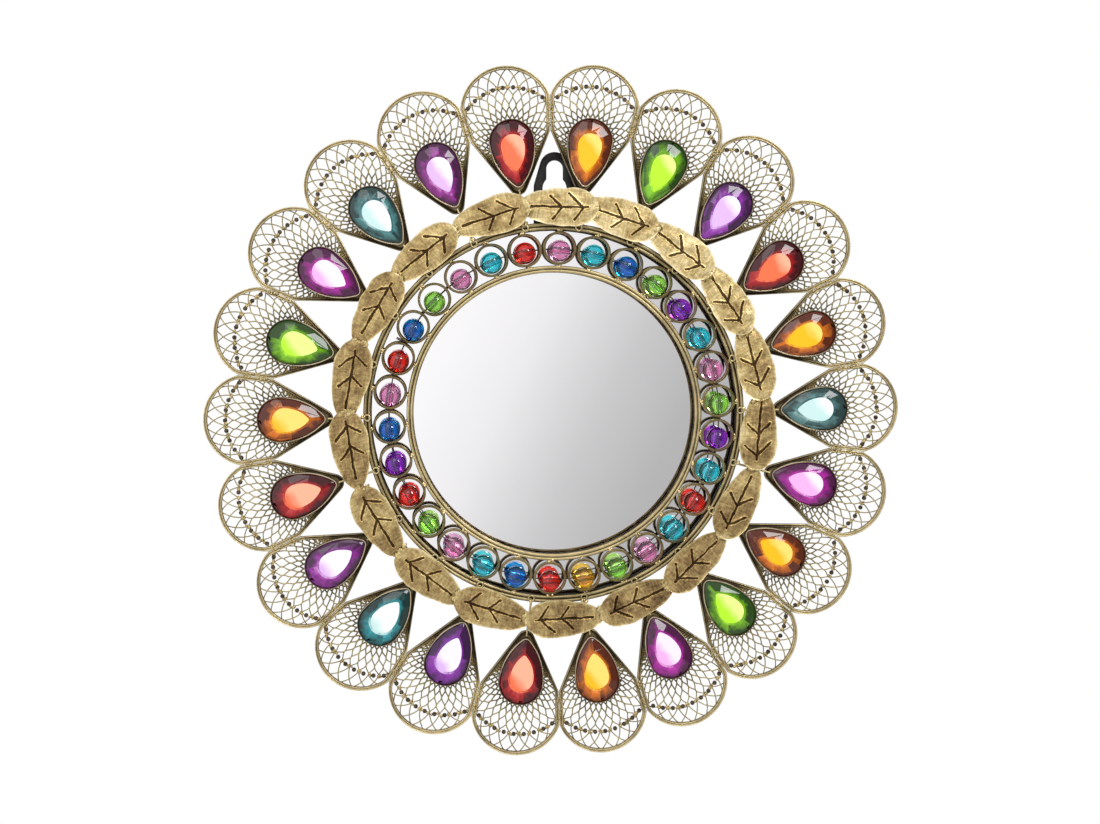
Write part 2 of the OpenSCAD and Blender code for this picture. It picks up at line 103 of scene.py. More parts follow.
# a petal's cut side and its straight flank lean this much from its middle line, in radians
SIDE = math.radians(PETAL_STEP / 2)
FLANK = math.asin((PETAL_ROUND - PETAL_TIP_ROUND) / (PETAL_R - PETAL_HEEL))
FLANK_MEET = PETAL_R - PETAL_ROUND / math.sin(FLANK)

# colours, clockwise from the first petal and the first ring right of the top
STONES = ("amber", "green", "purple", "red", "amber", "teal", "magenta", "amber", "green",
          "magenta", "amber", "red", "purple", "teal", "purple", "red", "amber", "green",
          "magenta", "teal", "purple", "red")
BEADS = ("pink", "teal", "blue", "green", "purple", "teal", "pink", "green", "purple", "teal",
         "red", "teal", "pink", "green", "amber", "red", "blue", "teal", "pink", "green",
         "red", "purple", "blue", "pink", "red", "blue", "green", "pink", "teal", "red")


# Laying out

def wall_point(x, y, z):
    """A point given as seen on the wall: x right, y up, z out of the wall, in millimetres."""
    return Vector((x, -z, y)) * MM


def clockwise(angle):
    return Matrix.Rotation(math.radians(angle), 4, "Y")


def unit(bearing):
    """A unit step on a bearing, as x and y on the wall."""
    return math.sin(math.radians(bearing)), math.cos(math.radians(bearing))


def clamp(value, low=0.0, high=1.0):
    return max(low, min(high, value))


# turns points drawn in millimetres on the wall into Blender's axes and metres
ON_WALL = Matrix(((1, 0, 0, 0), (0, 0, -1, 0), (0, 1, 0, 0), (0, 0, 0, 1))) @ Matrix.Scale(MM, 4)


def pick_only(*pieces):
    bpy.ops.object.select_all(action="DESELECT")
    for piece in pieces:
        piece.select_set(True)
    bpy.context.view_layer.objects.active = pieces[0]


def named(name):
    piece = bpy.context.active_object
    piece.name = name
    piece.data.name = name
    return piece


def linked(name, data):
    """A new object of the scene that holds the given mesh or curve."""
    piece = bpy.data.objects.new(name, data)
    bpy.context.scene.collection.objects.link(piece)
    return piece


def duplicate(piece, name):
    return linked(name, piece.data.copy())


def gather(name, pieces):
    pick_only(*pieces)
    if len(pieces) > 1:
        bpy.ops.object.join()
    return named(name)


def round_the_mirror(piece, name, angles):
    """Copies a piece, drawn at twelve o'clock, to each angle clockwise from the top."""
    copies = []
    for i, angle in enumerate(angles):
        copy = duplicate(piece, f"{name}_{i}")
        copy.data.transform(clockwise(angle))
        copies.append(copy)
    bpy.data.objects.remove(piece)
    return gather(name, copies)


def finish_modifier(piece, kind, **settings):
    pick_only(piece)
    modifier = piece.modifiers.new(kind.lower(), kind)
    for key, value in settings.items():
        setattr(modifier, key, value)
    bpy.ops.object.modifier_apply(modifier=modifier.name)


def smooth(piece, angle=40):
    pick_only(piece)
    bpy.ops.object.shade_smooth_by_angle(angle=math.radians(angle))


def paint(piece, material):
    piece.data.materials.clear()
    piece.data.materials.append(material)


def place(piece, body, material, slot, *stands_for):
    """Finishes a piece: its own material, the body it rides on and the CAD nodes it replaces; slot is not
    used.
    """
    pick_only(piece)
    bpy.ops.object.transform_apply(location=True, rotation=True, scale=True)
    paint(piece, material)
    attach(piece, body)
    if stands_for:
        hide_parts(*stands_for)
    return piece


def mesh_from(name, points, faces, turn_outwards=True):
    mesh = bpy.data.meshes.new(name)
    mesh.from_pydata(points, [], faces)
    piece = linked(name, mesh)
    if turn_outwards:
        pick_only(piece)
        bpy.ops.object.mode_set(mode="EDIT")
        bpy.ops.mesh.select_all(action="SELECT")
        bpy.ops.mesh.normals_make_consistent(inside=False)
        bpy.ops.object.mode_set(mode="OBJECT")
    return piece


def swept_loops(name, loops, closed=True):
    """Skins a row of equal closed loops of points, and joins the last to the first or caps both."""
    n = len(loops[0])
    points = [p for loop in loops for p in loop]
    faces = []
    rows = len(loops) if closed else len(loops) - 1
    for i in range(rows):
        j = (i + 1) % len(loops)
        for k in range(n):
            m = (k + 1) % n
            faces.append((i * n + k, i * n + m, j * n + m, j * n + k))
    if not closed:
        faces.append(tuple(range(n))[::-1])
        faces.append(tuple((len(loops) - 1) * n + k for k in range(n)))
    return mesh_from(name, points, faces)


def tube_curve(name, radius, bevel_steps):
    """An empty curve that becomes round wire of the given radius."""
    curve = bpy.data.curves.new(name, "CURVE")
    curve.dimensions = "3D"
    curve.bevel_depth = radius * MM
    curve.bevel_resolution = bevel_steps
    curve.use_fill_caps = True
    return curve


def curve_to_mesh(name, curve):
    pick_only(linked(name, curve))
    bpy.ops.object.convert(target="MESH")
    return named(name)


def mark_points(piece, name, marks):
    """Writes a mark from 0 to 1 at each vertex, for the materials to read."""
    layer = piece.data.color_attributes.new(name, "FLOAT_COLOR", "POINT")
    for point, mark in zip(layer.data, marks):
        point.color = (mark, mark, mark, 1)


# Outlines of a petal and its cup
# all are drawn for a petal at twelve o'clock, and w is how far a line runs inside the outline

def inside_cut(x, y):
    """How far x, y lies inside the side that is cut straight for the next petal."""
    return y * math.sin(SIDE) - x * math.cos(SIDE) - PETAL_GAP / 2


def in_petal(x, y, w):
    """Whether x, y lies w or more inside the petal's outline."""
    x = abs(x)
    along = y * math.cos(FLANK) + x * math.sin(FLANK)
    if along > PETAL_R * math.cos(FLANK):
        edge = PETAL_ROUND - math.hypot(x, y - PETAL_R)
    elif along < PETAL_HEEL * math.cos(FLANK):
        edge = PETAL_TIP_ROUND - math.hypot(x, y - PETAL_HEEL)
    else:
        edge = (y - FLANK_MEET) * math.sin(FLANK) - x * math.cos(FLANK)
    return min(inside_cut(x, y), edge) >= w


def petal_reach(x, y, dx, dy, w):
    """How far one can go from x, y along dx, dy and stay w inside the petal's outline."""
    inside, outside = 0.0, 60.0
    for _ in range(24):
        middle = (inside + outside) / 2
        if in_petal(x + dx * middle, y + dy * middle, w):
            inside = middle
        else:
            outside = middle
    return inside


def from_cup(r, bearing):
    """The point r away from the cup's round centre, as x and y."""
    dx, dy = unit(bearing)
    return r * dx, CUP_Y + r * dy


def petal_edge(bearing, w):
    """The point of the petal's edge, drawn in by w, on a bearing from the cup's round centre."""
    return from_cup(petal_reach(0, CUP_Y, *unit(bearing), w), bearing)


def petal_corner_rays():
    """Bearings from the cup's round centre, with one through every corner of the outline."""
    corners = {CUP_TIP_FROM, 180}
    search = 0.05
    was_cut = None
    for i in range(round(180 / search)):
        cut = inside_cut(*petal_edge(i * search, 0)) < 0.01
        if was_cut is not None and cut != was_cut:
            corners.add(i * search)
        was_cut = cut
    rays = []
    previous = 0.0
    for corner in sorted(corners):
        steps = max(2, round((corner - previous) / (2.5 if corner == 180 else 5)))
        rays += [previous + (corner - previous) * k / steps for k in range(steps)]
        previous = corner
    rays.append(180.0)
    return rays + [360 - a for a in reversed(rays[1:-1])]


PETAL_RAYS = petal_corner_rays()


def petal_loop(w, z):
    """The petal's outline drawn in by w, as points at height z."""
    return [wall_point(*petal_edge(a, w), z) for a in PETAL_RAYS]


def pear_edge(bearing, w):
    """The cup's outline, drawn in by w: 0 is the round end's top, 180 the tip. Returns x, y, nx, ny."""
    a = bearing if bearing <= 180 else bearing - 360
    side = 1 if a >= 0 else -1
    a = abs(a)
    if a <= 90:
        nx, ny = unit(a)
        return side * (CUP_R - w) * nx, (CUP_R - w) * ny, side * nx, ny
    if a <= CUP_TIP_FROM:
        f = CUP_FLANK - w
        t = (a - 90) / (CUP_TIP_FROM - 90) * CUP_FLANK_A
        return side * (f * math.cos(t) - CUP_FLANK_X), -f * math.sin(t), side * math.cos(t), -math.sin(t)
    f = CUP_TIP_R - w
    t = CUP_FLANK_A + (a - CUP_TIP_FROM) / (180 - CUP_TIP_FROM) * (math.pi / 2 - CUP_FLANK_A)
    return side * f * math.cos(t), -CUP_TIP_Y - f * math.sin(t), side * math.cos(t), -math.sin(t)


PEAR_STEPS = [i * 7.5 for i in range(12)] + [90 + i * 9 for i in range(8)]
PEAR_STEPS += [CUP_TIP_FROM + i * 6 for i in range(4)]
PEAR_STEPS += [360 - a for a in reversed(PEAR_STEPS[1:-1])]


def pear_loop(w, z):
    """The cup's outline drawn in by w, as points at height z."""
    return [wall_point(x, CUP_Y + y, z) for x, y, _, _ in (pear_edge(a, w) for a in PEAR_STEPS)]


# Materials

def new_material(name):
    material = bpy.data.materials.new(name)
    material.use_nodes = True
    tree = material.node_tree
    return material, tree, tree.nodes["Principled BSDF"]


def add_node(tree, kind, **settings):
    node = tree.nodes.new(kind)
    for key, value in settings.items():
        setattr(node, key, value)
    return node


def feed(tree, node, values):
    """Fills a node's inputs, each with a number, a colour or another node's output."""
    for key, value in values.items():
        socket = node.inputs[key]
        if isinstance(value, (int, float)):
            socket.default_value = value
        elif isinstance(value, tuple):
            socket.default_value = (*value, 1)
        else:
            tree.links.new(value, socket)


def math_node(tree, operation, *values, limit=False):
    """One sum on numbers or outputs; limit keeps its result between 0 and 1."""
    node = add_node(tree, "ShaderNodeMath", operation=operation, use_clamp=limit)
    feed(tree, node, dict(enumerate(values)))
    return node.outputs[0]


def weighed(tree, plus, *terms):
    """The sum of plus and each term, a value and its weight."""
    total = plus
    for value, weight in terms:
        total = math_node(tree, "MULTIPLY_ADD", value, weight, total)
    return total


def object_place(tree):
    return add_node(tree, "ShaderNodeTexCoord").outputs["Object"]


def attribute(tree, name):
    return add_node(tree, "ShaderNodeAttribute", attribute_name=name).outputs


def split(tree, value, kind="XYZ"):
    """The three parts of a vector, or with kind Color of a colour."""
    node = add_node(tree, "ShaderNodeSeparate" + kind)
    tree.links.new(value, node.inputs[0])
    return node.outputs


def colour_ramp(tree, factor, stops):
    ramp = add_node(tree, "ShaderNodeValToRGB")
    elements = ramp.color_ramp.elements
    while len(elements) < len(stops):
        elements.new(0.5)
    for element, (position, colour) in zip(elements, stops):
        element.position = position
        element.color = (*colour, 1)
    tree.links.new(factor, ramp.inputs[0])
    return ramp.outputs[0]


def noise_at(tree, vector, scale, detail=4.0, roughness=0.55, stretch=None):
    if stretch:
        mapping = add_node(tree, "ShaderNodeMapping")
        mapping.inputs["Scale"].default_value = stretch
        tree.links.new(vector, mapping.inputs[0])
        vector = mapping.outputs[0]
    node = add_node(tree, "ShaderNodeTexNoise")
    feed(tree, node, {"Scale": scale, "Detail": detail, "Roughness": roughness, "Vector": vector})
    return node.outputs["Fac"]


def cells_at(tree, vector, scale):
    node = add_node(tree, "ShaderNodeTexVoronoi")
    feed(tree, node, {"Scale": scale, "Vector": vector})
    return node.outputs


def mix_colour(tree, factor, a, b, blend="MIX"):
    """Colour a where the factor is 0 and b where it is 1."""
    node = add_node(tree, "ShaderNodeMix", data_type="RGBA", blend_type=blend)
    feed(tree, node, {0: factor, 6: a, 7: b})
    return node.outputs[2]


def bump(tree, height, shader, strength=0.3, distance=0.0003, normal=None):
    """Raises a shader's surface by height, on top of another bump's normal if one is given."""
    node = add_node(tree, "ShaderNodeBump")
    feed(tree, node, {"Strength": strength, "Distance": distance, "Height": height})
    if normal is not None:
        tree.links.new(normal, node.inputs["Normal"])
    tree.links.new(node.outputs[0], shader.inputs["Normal"])
    return node.outputs[0]


def facing_room(tree):
    """1 where a surface faces the room, a half at its sides and 0 where it faces the wall."""
    normal = add_node(tree, "ShaderNodeNewGeometry").outputs["Normal"]
    return weighed(tree, 0.5, (split(tree, normal)["Y"], -0.5))


def nearness(tree, place_on, near, far):
    """1 closer to the mirror's middle than near, 0 beyond far, both in millimetres."""
    x, _, z = split(tree, place_on)
    square = math_node(tree, "MULTIPLY_ADD", z, z, math_node(tree, "MULTIPLY", x, x))
    span = (far - near) * MM
    return math_node(tree, "MULTIPLY_ADD", math_node(tree, "SQRT", square), -1 / span, far * MM / span,
                     limit=True)


def antique_brass(name, dark, middle, light, front_wear_and_light=0.5, roughness=0.4, grain=900,
                  relief=0.35, shade=None):
    """Brass that is rubbed lighter where it faces the room and darker at its sides and back, partly tarnish
    and partly painted shade.

    shade is where painted shade deepens and by how much, less than 0 where a painted highlight lightens it:
    near and far radii about the mirror's middle, or the name of an attribute of the mesh.
    """
    material, tree, shader = new_material(name)
    place_on = object_place(tree)
    cloud = noise_at(tree, place_on, 110, 5)
    speck = noise_at(tree, place_on, grain, 3, 0.7)
    # painted shade with real wear: faces turned from the room darken, faces towards it lighten
    worn_and_lit = math_node(tree, "POWER", facing_room(tree), 1.6)
    tone = weighed(tree, 0.0, (cloud, 0.55), (speck, 0.35), (worn_and_lit, front_wear_and_light))
    # where shade is given, painted shade darkens the brass there, or a painted highlight lightens it when
    # the amount is below 0
    if shade:
        where, amount = shade
        if isinstance(where, str):
            deep = attribute(tree, where)["Fac"]
        else:
            deep = nearness(tree, place_on, *where)
        tone = weighed(tree, tone, (deep, -amount))
    colour = colour_ramp(tree, tone, ((0.38, dark), (0.68, middle), (0.98, light)))
    feed(tree, shader, {"Base Color": colour, "Metallic": 0.9,
                        "Roughness": weighed(tree, roughness - 0.15, (speck, 0.3))})
    bump(tree, speck, shader, relief, 0.00025)
    return material


band_brass = antique_brass("band_brass", (0.035, 0.022, 0.011), (0.215, 0.163, 0.076),
                           (0.54, 0.440, 0.232), front_wear_and_light=0.47)
hoop_brass = antique_brass("hoop_brass", (0.030, 0.020, 0.010), (0.175, 0.132, 0.062),
                           (0.47, 0.385, 0.200), front_wear_and_light=0.44)
# the rims darken with painted shade towards each petal's tip
rim_brass = antique_brass("rim_brass", (0.040, 0.029, 0.015), (0.235, 0.184, 0.095),
                          (0.56, 0.465, 0.262), front_wear_and_light=0.50, shade=("tip_shade", 0.62))
# the lace darkens with painted shade beside each cup
lace_brass = antique_brass("lace_brass", (0.036, 0.029, 0.014), (0.190, 0.152, 0.064),
                           (0.52, 0.425, 0.190), front_wear_and_light=0.46, grain=1400, shade=("cup_shade", 0.24))
# near-black brass for the sheet and grains round the petal tips, a painted shade
shaded_web_brass = antique_brass("shaded_web_brass", (0.014, 0.011, 0.007), (0.115, 0.088, 0.045),
                          (0.40, 0.32, 0.165), front_wear_and_light=0.30, grain=430, relief=1.2)
# painted highlight on each cup's lip towards the mirror's middle, with painted shade on its far side
cup_brass = antique_brass("cup_brass", (0.020, 0.014, 0.009), (0.14, 0.10, 0.056),
                          (0.56, 0.46, 0.31), front_wear_and_light=0.20, shade=((138, 162), -0.36))
crumpled_brass = antique_brass("crumpled_brass", (0.08, 0.052, 0.020), (0.33, 0.25, 0.100),
                               (0.64, 0.52, 0.26), front_wear_and_light=0.38, roughness=0.46, grain=420, relief=1.2)
solder_brass = antique_brass("solder_brass", (0.085, 0.055, 0.020), (0.40, 0.29, 0.115),
                             (0.84, 0.68, 0.37), front_wear_and_light=0.52, roughness=0.36, grain=600, relief=0.8)
rod_brass = antique_brass("rod_brass", (0.03, 0.022, 0.014), (0.16, 0.125, 0.065),
                          (0.40, 0.33, 0.18), front_wear_and_light=0.4)


def dark_metal(name, grain, crumble, stops, roughness, relief):
    """Blackened metal with a fine speckle."""
    material, tree, shader = new_material(name)
    speck = noise_at(tree, object_place(tree), grain, 3, crumble)
    feed(tree, shader, {"Base Color": colour_ramp(tree, speck, stops), "Metallic": 0.6,
                        "Roughness": roughness})
    bump(tree, speck, shader, relief)
    return material


iron = dark_metal("iron_wire", grain=900, crumble=0.6, roughness=0.5, relief=0.3,
                  stops=((0.3, (0.018, 0.012, 0.009)), (0.75, (0.10, 0.065, 0.045))))
dark_stud = dark_metal("blackened_stud", grain=700, crumble=0.7, roughness=0.36, relief=0.4,
                       stops=((0.35, (0.020, 0.014, 0.009)), (0.7, (0.15, 0.105, 0.055))))


def blackened_steel():
    material, tree, shader = new_material("blackened_steel")
    place_on = object_place(tree)
    cloud = noise_at(tree, place_on, 45, 5)
    scratch = noise_at(tree, place_on, 120, 3, 0.6, stretch=(1.0, 1.0, 9.0))
    tone = math_node(tree, "MULTIPLY", cloud, scratch)
    colour = colour_ramp(tree, tone, ((0.12, (0.010, 0.009, 0.009)), (0.34, (0.030, 0.028, 0.027)),
                                      (0.50, (0.085, 0.078, 0.070))))
    feed(tree, shader, {"Base Color": colour, "Metallic": 0.35,
                        "Roughness": weighed(tree, 0.22, (scratch, 0.35))})
    bump(tree, cloud, shader, 0.15, 0.0004)
    return material


def foam_sheet():
    material, tree, shader = new_material("foam_sheet")
    cells = cells_at(tree, object_place(tree), 900)["Distance"]
    colour = colour_ramp(tree, cells, ((0.1, (0.05, 0.05, 0.05)), (0.7, (0.11, 0.11, 0.105))))
    feed(tree, shader, {"Base Color": colour, "Roughness": 0.95})
    bump(tree, cells, shader, 0.5)
    return material


def silvered_pane():
    material, tree, shader = new_material("silvered_pane")
    haze = noise_at(tree, object_place(tree), 30, 3)
    colour = colour_ramp(tree, haze, ((0.3, (0.955, 0.955, 0.96)), (0.7, (0.975, 0.97, 0.975))))
    feed(tree, shader, {"Base Color": colour, "Metallic": 1.0,
                        "Roughness": math_node(tree, "MULTIPLY", haze, 0.012)})
    return material


def segment_distance(tree, x, y, start, end):
    """Distance of the point x, y, two node outputs, from the line between start and end."""
    dx, dy = end[0] - start[0], end[1] - start[1]
    length2 = dx * dx + dy * dy
    px = math_node(tree, "SUBTRACT", x, start[0])
    py = math_node(tree, "SUBTRACT", y, start[1])
    along = weighed(tree, 0.0, (px, dx / length2), (py, dy / length2))
    along = math_node(tree, "MINIMUM", math_node(tree, "MAXIMUM", along, 0.0), 1.0)
    ex = math_node(tree, "MULTIPLY_ADD", along, -dx, px)
    ey = math_node(tree, "MULTIPLY_ADD", along, -dy, py)
    square = math_node(tree, "MULTIPLY_ADD", ex, ex, math_node(tree, "MULTIPLY", ey, ey))
    return math_node(tree, "SQRT", square)


# a leaf's chiselled lines, in leaf lengths: along from its tip, and across from its middle
VEINS = (((0.13, 0.0), (0.86, 0.0)),
         ((0.53, 0.0), (0.39, 0.135)), ((0.545, 0.0), (0.43, -0.15)),
         ((0.80, 0.0), (0.63, 0.165)), ((0.815, 0.0), (0.70, -0.16)))


def leaf_brass():
    """Hammered brass leaf: chiselled veins along its own length, brushed and mottled between them."""
    material, tree, shader = new_material("leaf_brass")
    uv = add_node(tree, "ShaderNodeUVMap", uv_map="leaf").outputs[0]
    place_on = object_place(tree)
    warp = noise_at(tree, place_on, 170, 3)
    x, y = (math_node(tree, "SUBTRACT", weighed(tree, part, (warp, 0.03)), 0.015)
            for part in split(tree, uv)[:2])
    nearest = 1.0
    for start, end in VEINS:
        nearest = math_node(tree, "MINIMUM", nearest, segment_distance(tree, x, y, start, end))
    chip = noise_at(tree, place_on, 330, 3, 0.6)
    nearest = weighed(tree, -0.0215, (nearest, 1.0), (chip, 0.034))
    # the vein's groove is dark, patina in the hollow and painted shade both, and its burr is lit past the
    # brass's own colour, a painted highlight
    groove = colour_ramp(tree, nearest, ((0.003, (0.13, 0.10, 0.07)), (0.0085, (0.38, 0.32, 0.25)),
                                         (0.012, (1.5, 1.46, 1.38)), (0.019, (1.38, 1.35, 1.28)),
                                         (0.028, (0.88, 0.87, 0.85)), (0.045, (1.0, 1.0, 1.0))))
    cloud = noise_at(tree, place_on, 62, 6, 0.6)
    brush = noise_at(tree, uv, 9, 5, 0.65, stretch=(1.0, 6.0, 1.0))
    fine = noise_at(tree, uv, 8, 5, 0.7, stretch=(6.0, 1.0, 1.0))
    # the leaf's first channel is painted light by where it hangs, with a little random rubbing; its second
    # is a painted highlight along its border
    worn_and_lit, edge, _ = split(tree, attribute(tree, "rubbing_and_light")["Color"], "Color")
    pit = math_node(tree, "MULTIPLY_ADD", noise_at(tree, place_on, 520, 3, 0.6), -6.0, 3.5, limit=True)
    tone = weighed(tree, -0.420, (cloud, 0.62), (brush, 0.32), (fine, 0.44), (worn_and_lit, 0.36), (pit, 0.07),
                   (edge, 0.20))
    colour = colour_ramp(tree, tone, ((0.26, (0.085, 0.052, 0.020)), (0.42, (0.31, 0.205, 0.085)),
                                      (0.54, (0.50, 0.375, 0.160)), (0.66, (0.74, 0.595, 0.310)),
                                      (0.82, (0.93, 0.82, 0.54))))
    feed(tree, shader, {"Base Color": mix_colour(tree, 1.0, colour, groove, "MULTIPLY"),
                        "Metallic": 0.85, "Roughness": weighed(tree, 0.24, (fine, 0.35))})
    depth = colour_ramp(tree, nearest, ((0.002, (0.0, 0.0, 0.0)), (0.013, (1.0, 1.0, 1.0)),
                                        (0.032, (0.80, 0.80, 0.80))))
    chiselled = bump(tree, depth, shader, 1.0, 0.0008)
    bump(tree, weighed(tree, 0.0, (brush, 0.5), (fine, 0.4)), shader, 0.42, 0.0005, chiselled)
    return material


BEAD_TINT = {
    "red": (0.94, 0.05, 0.03), "pink": (0.97, 0.50, 0.76), "teal": (0.08, 0.80, 0.90),
    "blue": (0.01, 0.32, 0.80), "green": (0.52, 0.90, 0.20), "purple": (0.46, 0.05, 0.76),
    "amber": (0.98, 0.64, 0.08),
}


def bead_material(colour):
    material, tree, shader = new_material("bead_" + colour)
    swirl = noise_at(tree, object_place(tree), 260, 3)
    r, g, b = BEAD_TINT[colour]
    tint = colour_ramp(tree, swirl, ((0.35, (r * 0.8, g * 0.8, b * 0.8)), (0.65, (r, g, b))))
    feed(tree, shader, {"Base Color": tint, "Transmission Weight": 0.93, "IOR": 1.50, "Roughness": 0.03})
    bump(tree, cells_at(tree, object_place(tree), 520)["Distance"], shader, 0.12, 0.0005)
    return material


# painted light and shade: a stone's table where its painted reflection is palest and where it is most
# saturated, its lit crown and its deep, shaded crown
STONE_TINT = {
    "red": ((1.0, 0.44, 0.28), (0.92, 0.17, 0.07), (0.38, 0.008, 0.011), (0.045, 0.004, 0.006)),
    "amber": ((1.0, 0.70, 0.16), (0.96, 0.50, 0.012), (0.62, 0.15, 0.006), (0.085, 0.016, 0.006)),
    "green": ((0.78, 1.0, 0.26), (0.46, 0.90, 0.03), (0.17, 0.44, 0.006), (0.018, 0.054, 0.006)),
    "purple": ((0.90, 0.84, 0.98), (0.72, 0.46, 0.86), (0.24, 0.03, 0.36), (0.040, 0.010, 0.055)),
    "magenta": ((0.97, 0.80, 0.96), (0.86, 0.44, 0.80), (0.42, 0.02, 0.34), (0.062, 0.008, 0.046)),
    "teal": ((0.86, 0.92, 0.90), (0.56, 0.78, 0.76), (0.020, 0.25, 0.28), (0.010, 0.032, 0.030)),
}


# stones of one colour differ: these, counted clockwise from 0 at the one right of the hanger, lean by so
# much towards the crown colours below, which run from bright to deep, painted light to painted shade
LEANING = {2: 0.15, 14: 0.5, 20: 0.75, 5: 0.8, 19: 0.6}
LEANS_TO = {"purple": ((0.80, 0.40, 0.72), (0.36, 0.035, 0.28), (0.062, 0.012, 0.046)),
            "teal": ((0.55, 0.68, 0.64), (0.13, 0.25, 0.24), (0.024, 0.052, 0.050))}
CROWN_STOPS = (0.16, 0.55, 0.88)
# a stone's zones, as its mesh marks them
CROWN, STEP, TABLE = 0.0, 0.5, 1.0


def stone_material(colour):
    """A cut stone over foil, its light and shade painted per facet: pale table, a bright step round it, and
    a crown of lit and shaded facets.
    """
    pale, full, lit, deep = STONE_TINT[colour]
    material, tree, shader = new_material("stone_" + colour)
    cut = attribute(tree, "cut")
    zone, tone, glow = split(tree, cut["Color"], "Color")
    uv = add_node(tree, "ShaderNodeUVMap", uv_map="stone").outputs[0]
    inner = noise_at(tree, uv, 4.5, 3, 0.55)
    patch = split(tree, cells_at(tree, uv, 9)["Color"], "Color")[0]
    depth = weighed(tree, -0.16, (tone, 1.0), (patch, 0.16), (inner, 0.18))
    # painted highlight: the crown's brightest facets are lighter than its lit colour
    bright = tuple(min(1.0, c * 1.5 + 0.06) for c in lit)
    crown = colour_ramp(tree, depth, tuple(zip(CROWN_STOPS, (deep, lit, bright))))
    step = colour_ramp(tree, depth, ((0.10, tuple(c * 0.5 for c in lit)), (0.42, lit), (0.75, full)))
    # painted reflection: the table is palest towards the upper right of each hung stone
    lustre = weighed(tree, -0.12, (glow, 1.0), (inner, 0.22))
    table = colour_ramp(tree, lustre, ((0.36, full), (0.56, pale)))
    off_table = mix_colour(tree, math_node(tree, "GREATER_THAN", zone, (CROWN + STEP) / 2), crown, step)
    if colour in LEANS_TO:
        leaning = colour_ramp(tree, depth, tuple(zip(CROWN_STOPS, LEANS_TO[colour][::-1])))
        off_table = mix_colour(tree, cut["Alpha"], off_table, leaning)
    on_table = math_node(tree, "GREATER_THAN", zone, (STEP + TABLE) / 2)
    feed(tree, shader, {"Base Color": mix_colour(tree, on_table, off_table, table), "Roughness": 0.05,
                        "Coat Weight": 0.55, "Coat Roughness": 0.015, "Specular IOR Level": 0.1})
    return material


# Tray, pane, pad, rod, stems and hoops
blackened = blackened_steel()
PLAIN_PIECES = {"mirror_tray": blackened, "backing_pad": foam_sheet(), "mirror_pane": silvered_pane(),
                "garland_hoop": rod_brass, "petal_stems": band_brass, "outer_hoop": hoop_brass,
                "inner_hoop": band_brass}
for node, material in PLAIN_PIECES.items():
    paint(nodes[node], material)


# Hanger plate

def hanger():
    """The plate, with its flat faces cleaned and its edges broken."""
    plate = duplicate(nodes["hanger_plate"], "hanger_strap")
    pick_only(plate)
    bpy.ops.object.mode_set(mode="EDIT")
    bpy.ops.mesh.select_all(action="SELECT")
    bpy.ops.mesh.remove_doubles(threshold=1e-6)
    bpy.ops.mesh.dissolve_limited(angle_limit=math.radians(2))
    bpy.ops.object.mode_set(mode="OBJECT")
    finish_modifier(plate, "BEVEL", width=0.3 * MM, segments=2, limit_method="ANGLE",
                    angle_limit=math.radians(40))
    smooth(plate, 35)
    return plate


place(hanger(), "mirror", blackened, "blackened_steel", "hanger_plate")


# Rings and their solder

def ring_loop(w, z):
    """One loop of a ring at twelve o'clock, w in from its outer edge."""
    r = RING_OD / 2 - w
    return [wall_point(r * math.sin(t), BAND_R + r * math.cos(t), z)
            for t in (2 * math.pi * i / 60 for i in range(60))]


def grooved_ring():
    """A slice of thick tube whose front edge is rubbed down to two rounded lines with a groove between."""
    back, front = BAND_Z - RING_DEPTH / 2, BAND_Z + RING_DEPTH / 2
    section = [(0.0, back + 0.2), (0.0, front - 0.42), (0.09, front - 0.14), (0.25, front - 0.03),
               (0.42, front - 0.16), (0.54, front - 1.0), (0.76, front - 1.0), (0.86, front - 0.14),
               (1.07, front), (1.28, front - 0.12), (RING_WALL, front - 0.4), (RING_WALL, back + 0.2),
               (RING_WALL - 0.2, back), (0.2, back)]
    ring = swept_loops("grooved_ring", [ring_loop(w, z) for w, z in section])
    smooth(ring, 50)
    return ring


ring_angles = [RING_TURN + i * RING_STEP for i in range(RING_COUNT)]
rings = round_the_mirror(grooved_ring(), "bead_tube_rings", ring_angles)
place(rings, "mirror", band_brass, "band_brass", "bead_rings")


dice = random.Random(7)


def melted_grain(angle, x, y, z, smallest, largest):
    """A grain's place, drawn at twelve o'clock and turned clockwise, and its radius in millimetres."""
    return clockwise(angle) @ wall_point(x, y, z), dice.uniform(smallest, largest)


def granules(name, grains, flat, ragged=0.25):
    """Small lumps, each given as its place and radius; flat is how far they stand out, 1 for balls."""
    bpy.ops.mesh.primitive_uv_sphere_add(segments=8, ring_count=5, radius=1.0)
    ball = named("granule")
    base = [v.co.copy() for v in ball.data.vertices]
    polygons = [tuple(p.vertices) for p in ball.data.polygons]
    bpy.data.objects.remove(ball)
    points, faces = [], []
    for centre, radius in grains:
        start = len(points)
        for co in base:
            swell = radius * (1 + ragged * noise.noise(co * 1.9 + centre * 5000))
            points.append(centre + Vector((co.x, co.y * flat, co.z)) * swell * MM)
        faces += [tuple(start + i for i in face) for face in polygons]
    piece = mesh_from(name, points, faces, turn_outwards=False)
    smooth(piece, 80)
    return piece


joint_grains = []
for angle in ring_angles:
    for y, side in ((BAND_R - RING_OD / 2 - 0.35, -1), (BAND_R + RING_OD / 2 + 0.35, 1)):
        lean = dice.uniform(-0.8, 0.8)
        for _ in range(dice.choice((5, 7, 11))):
            joint_grains.append(melted_grain(angle, lean + dice.gauss(0, 0.85),
                                             y + side * dice.uniform(-0.45, 0.85),
                                             BAND_Z + dice.uniform(0.3, 1.5), 0.38, 0.78))
joint_solder = granules("band_joint_solder", joint_grains, flat=0.75)
place(joint_solder, "mirror", solder_brass, "solder", "band_solder")


# Threading wire

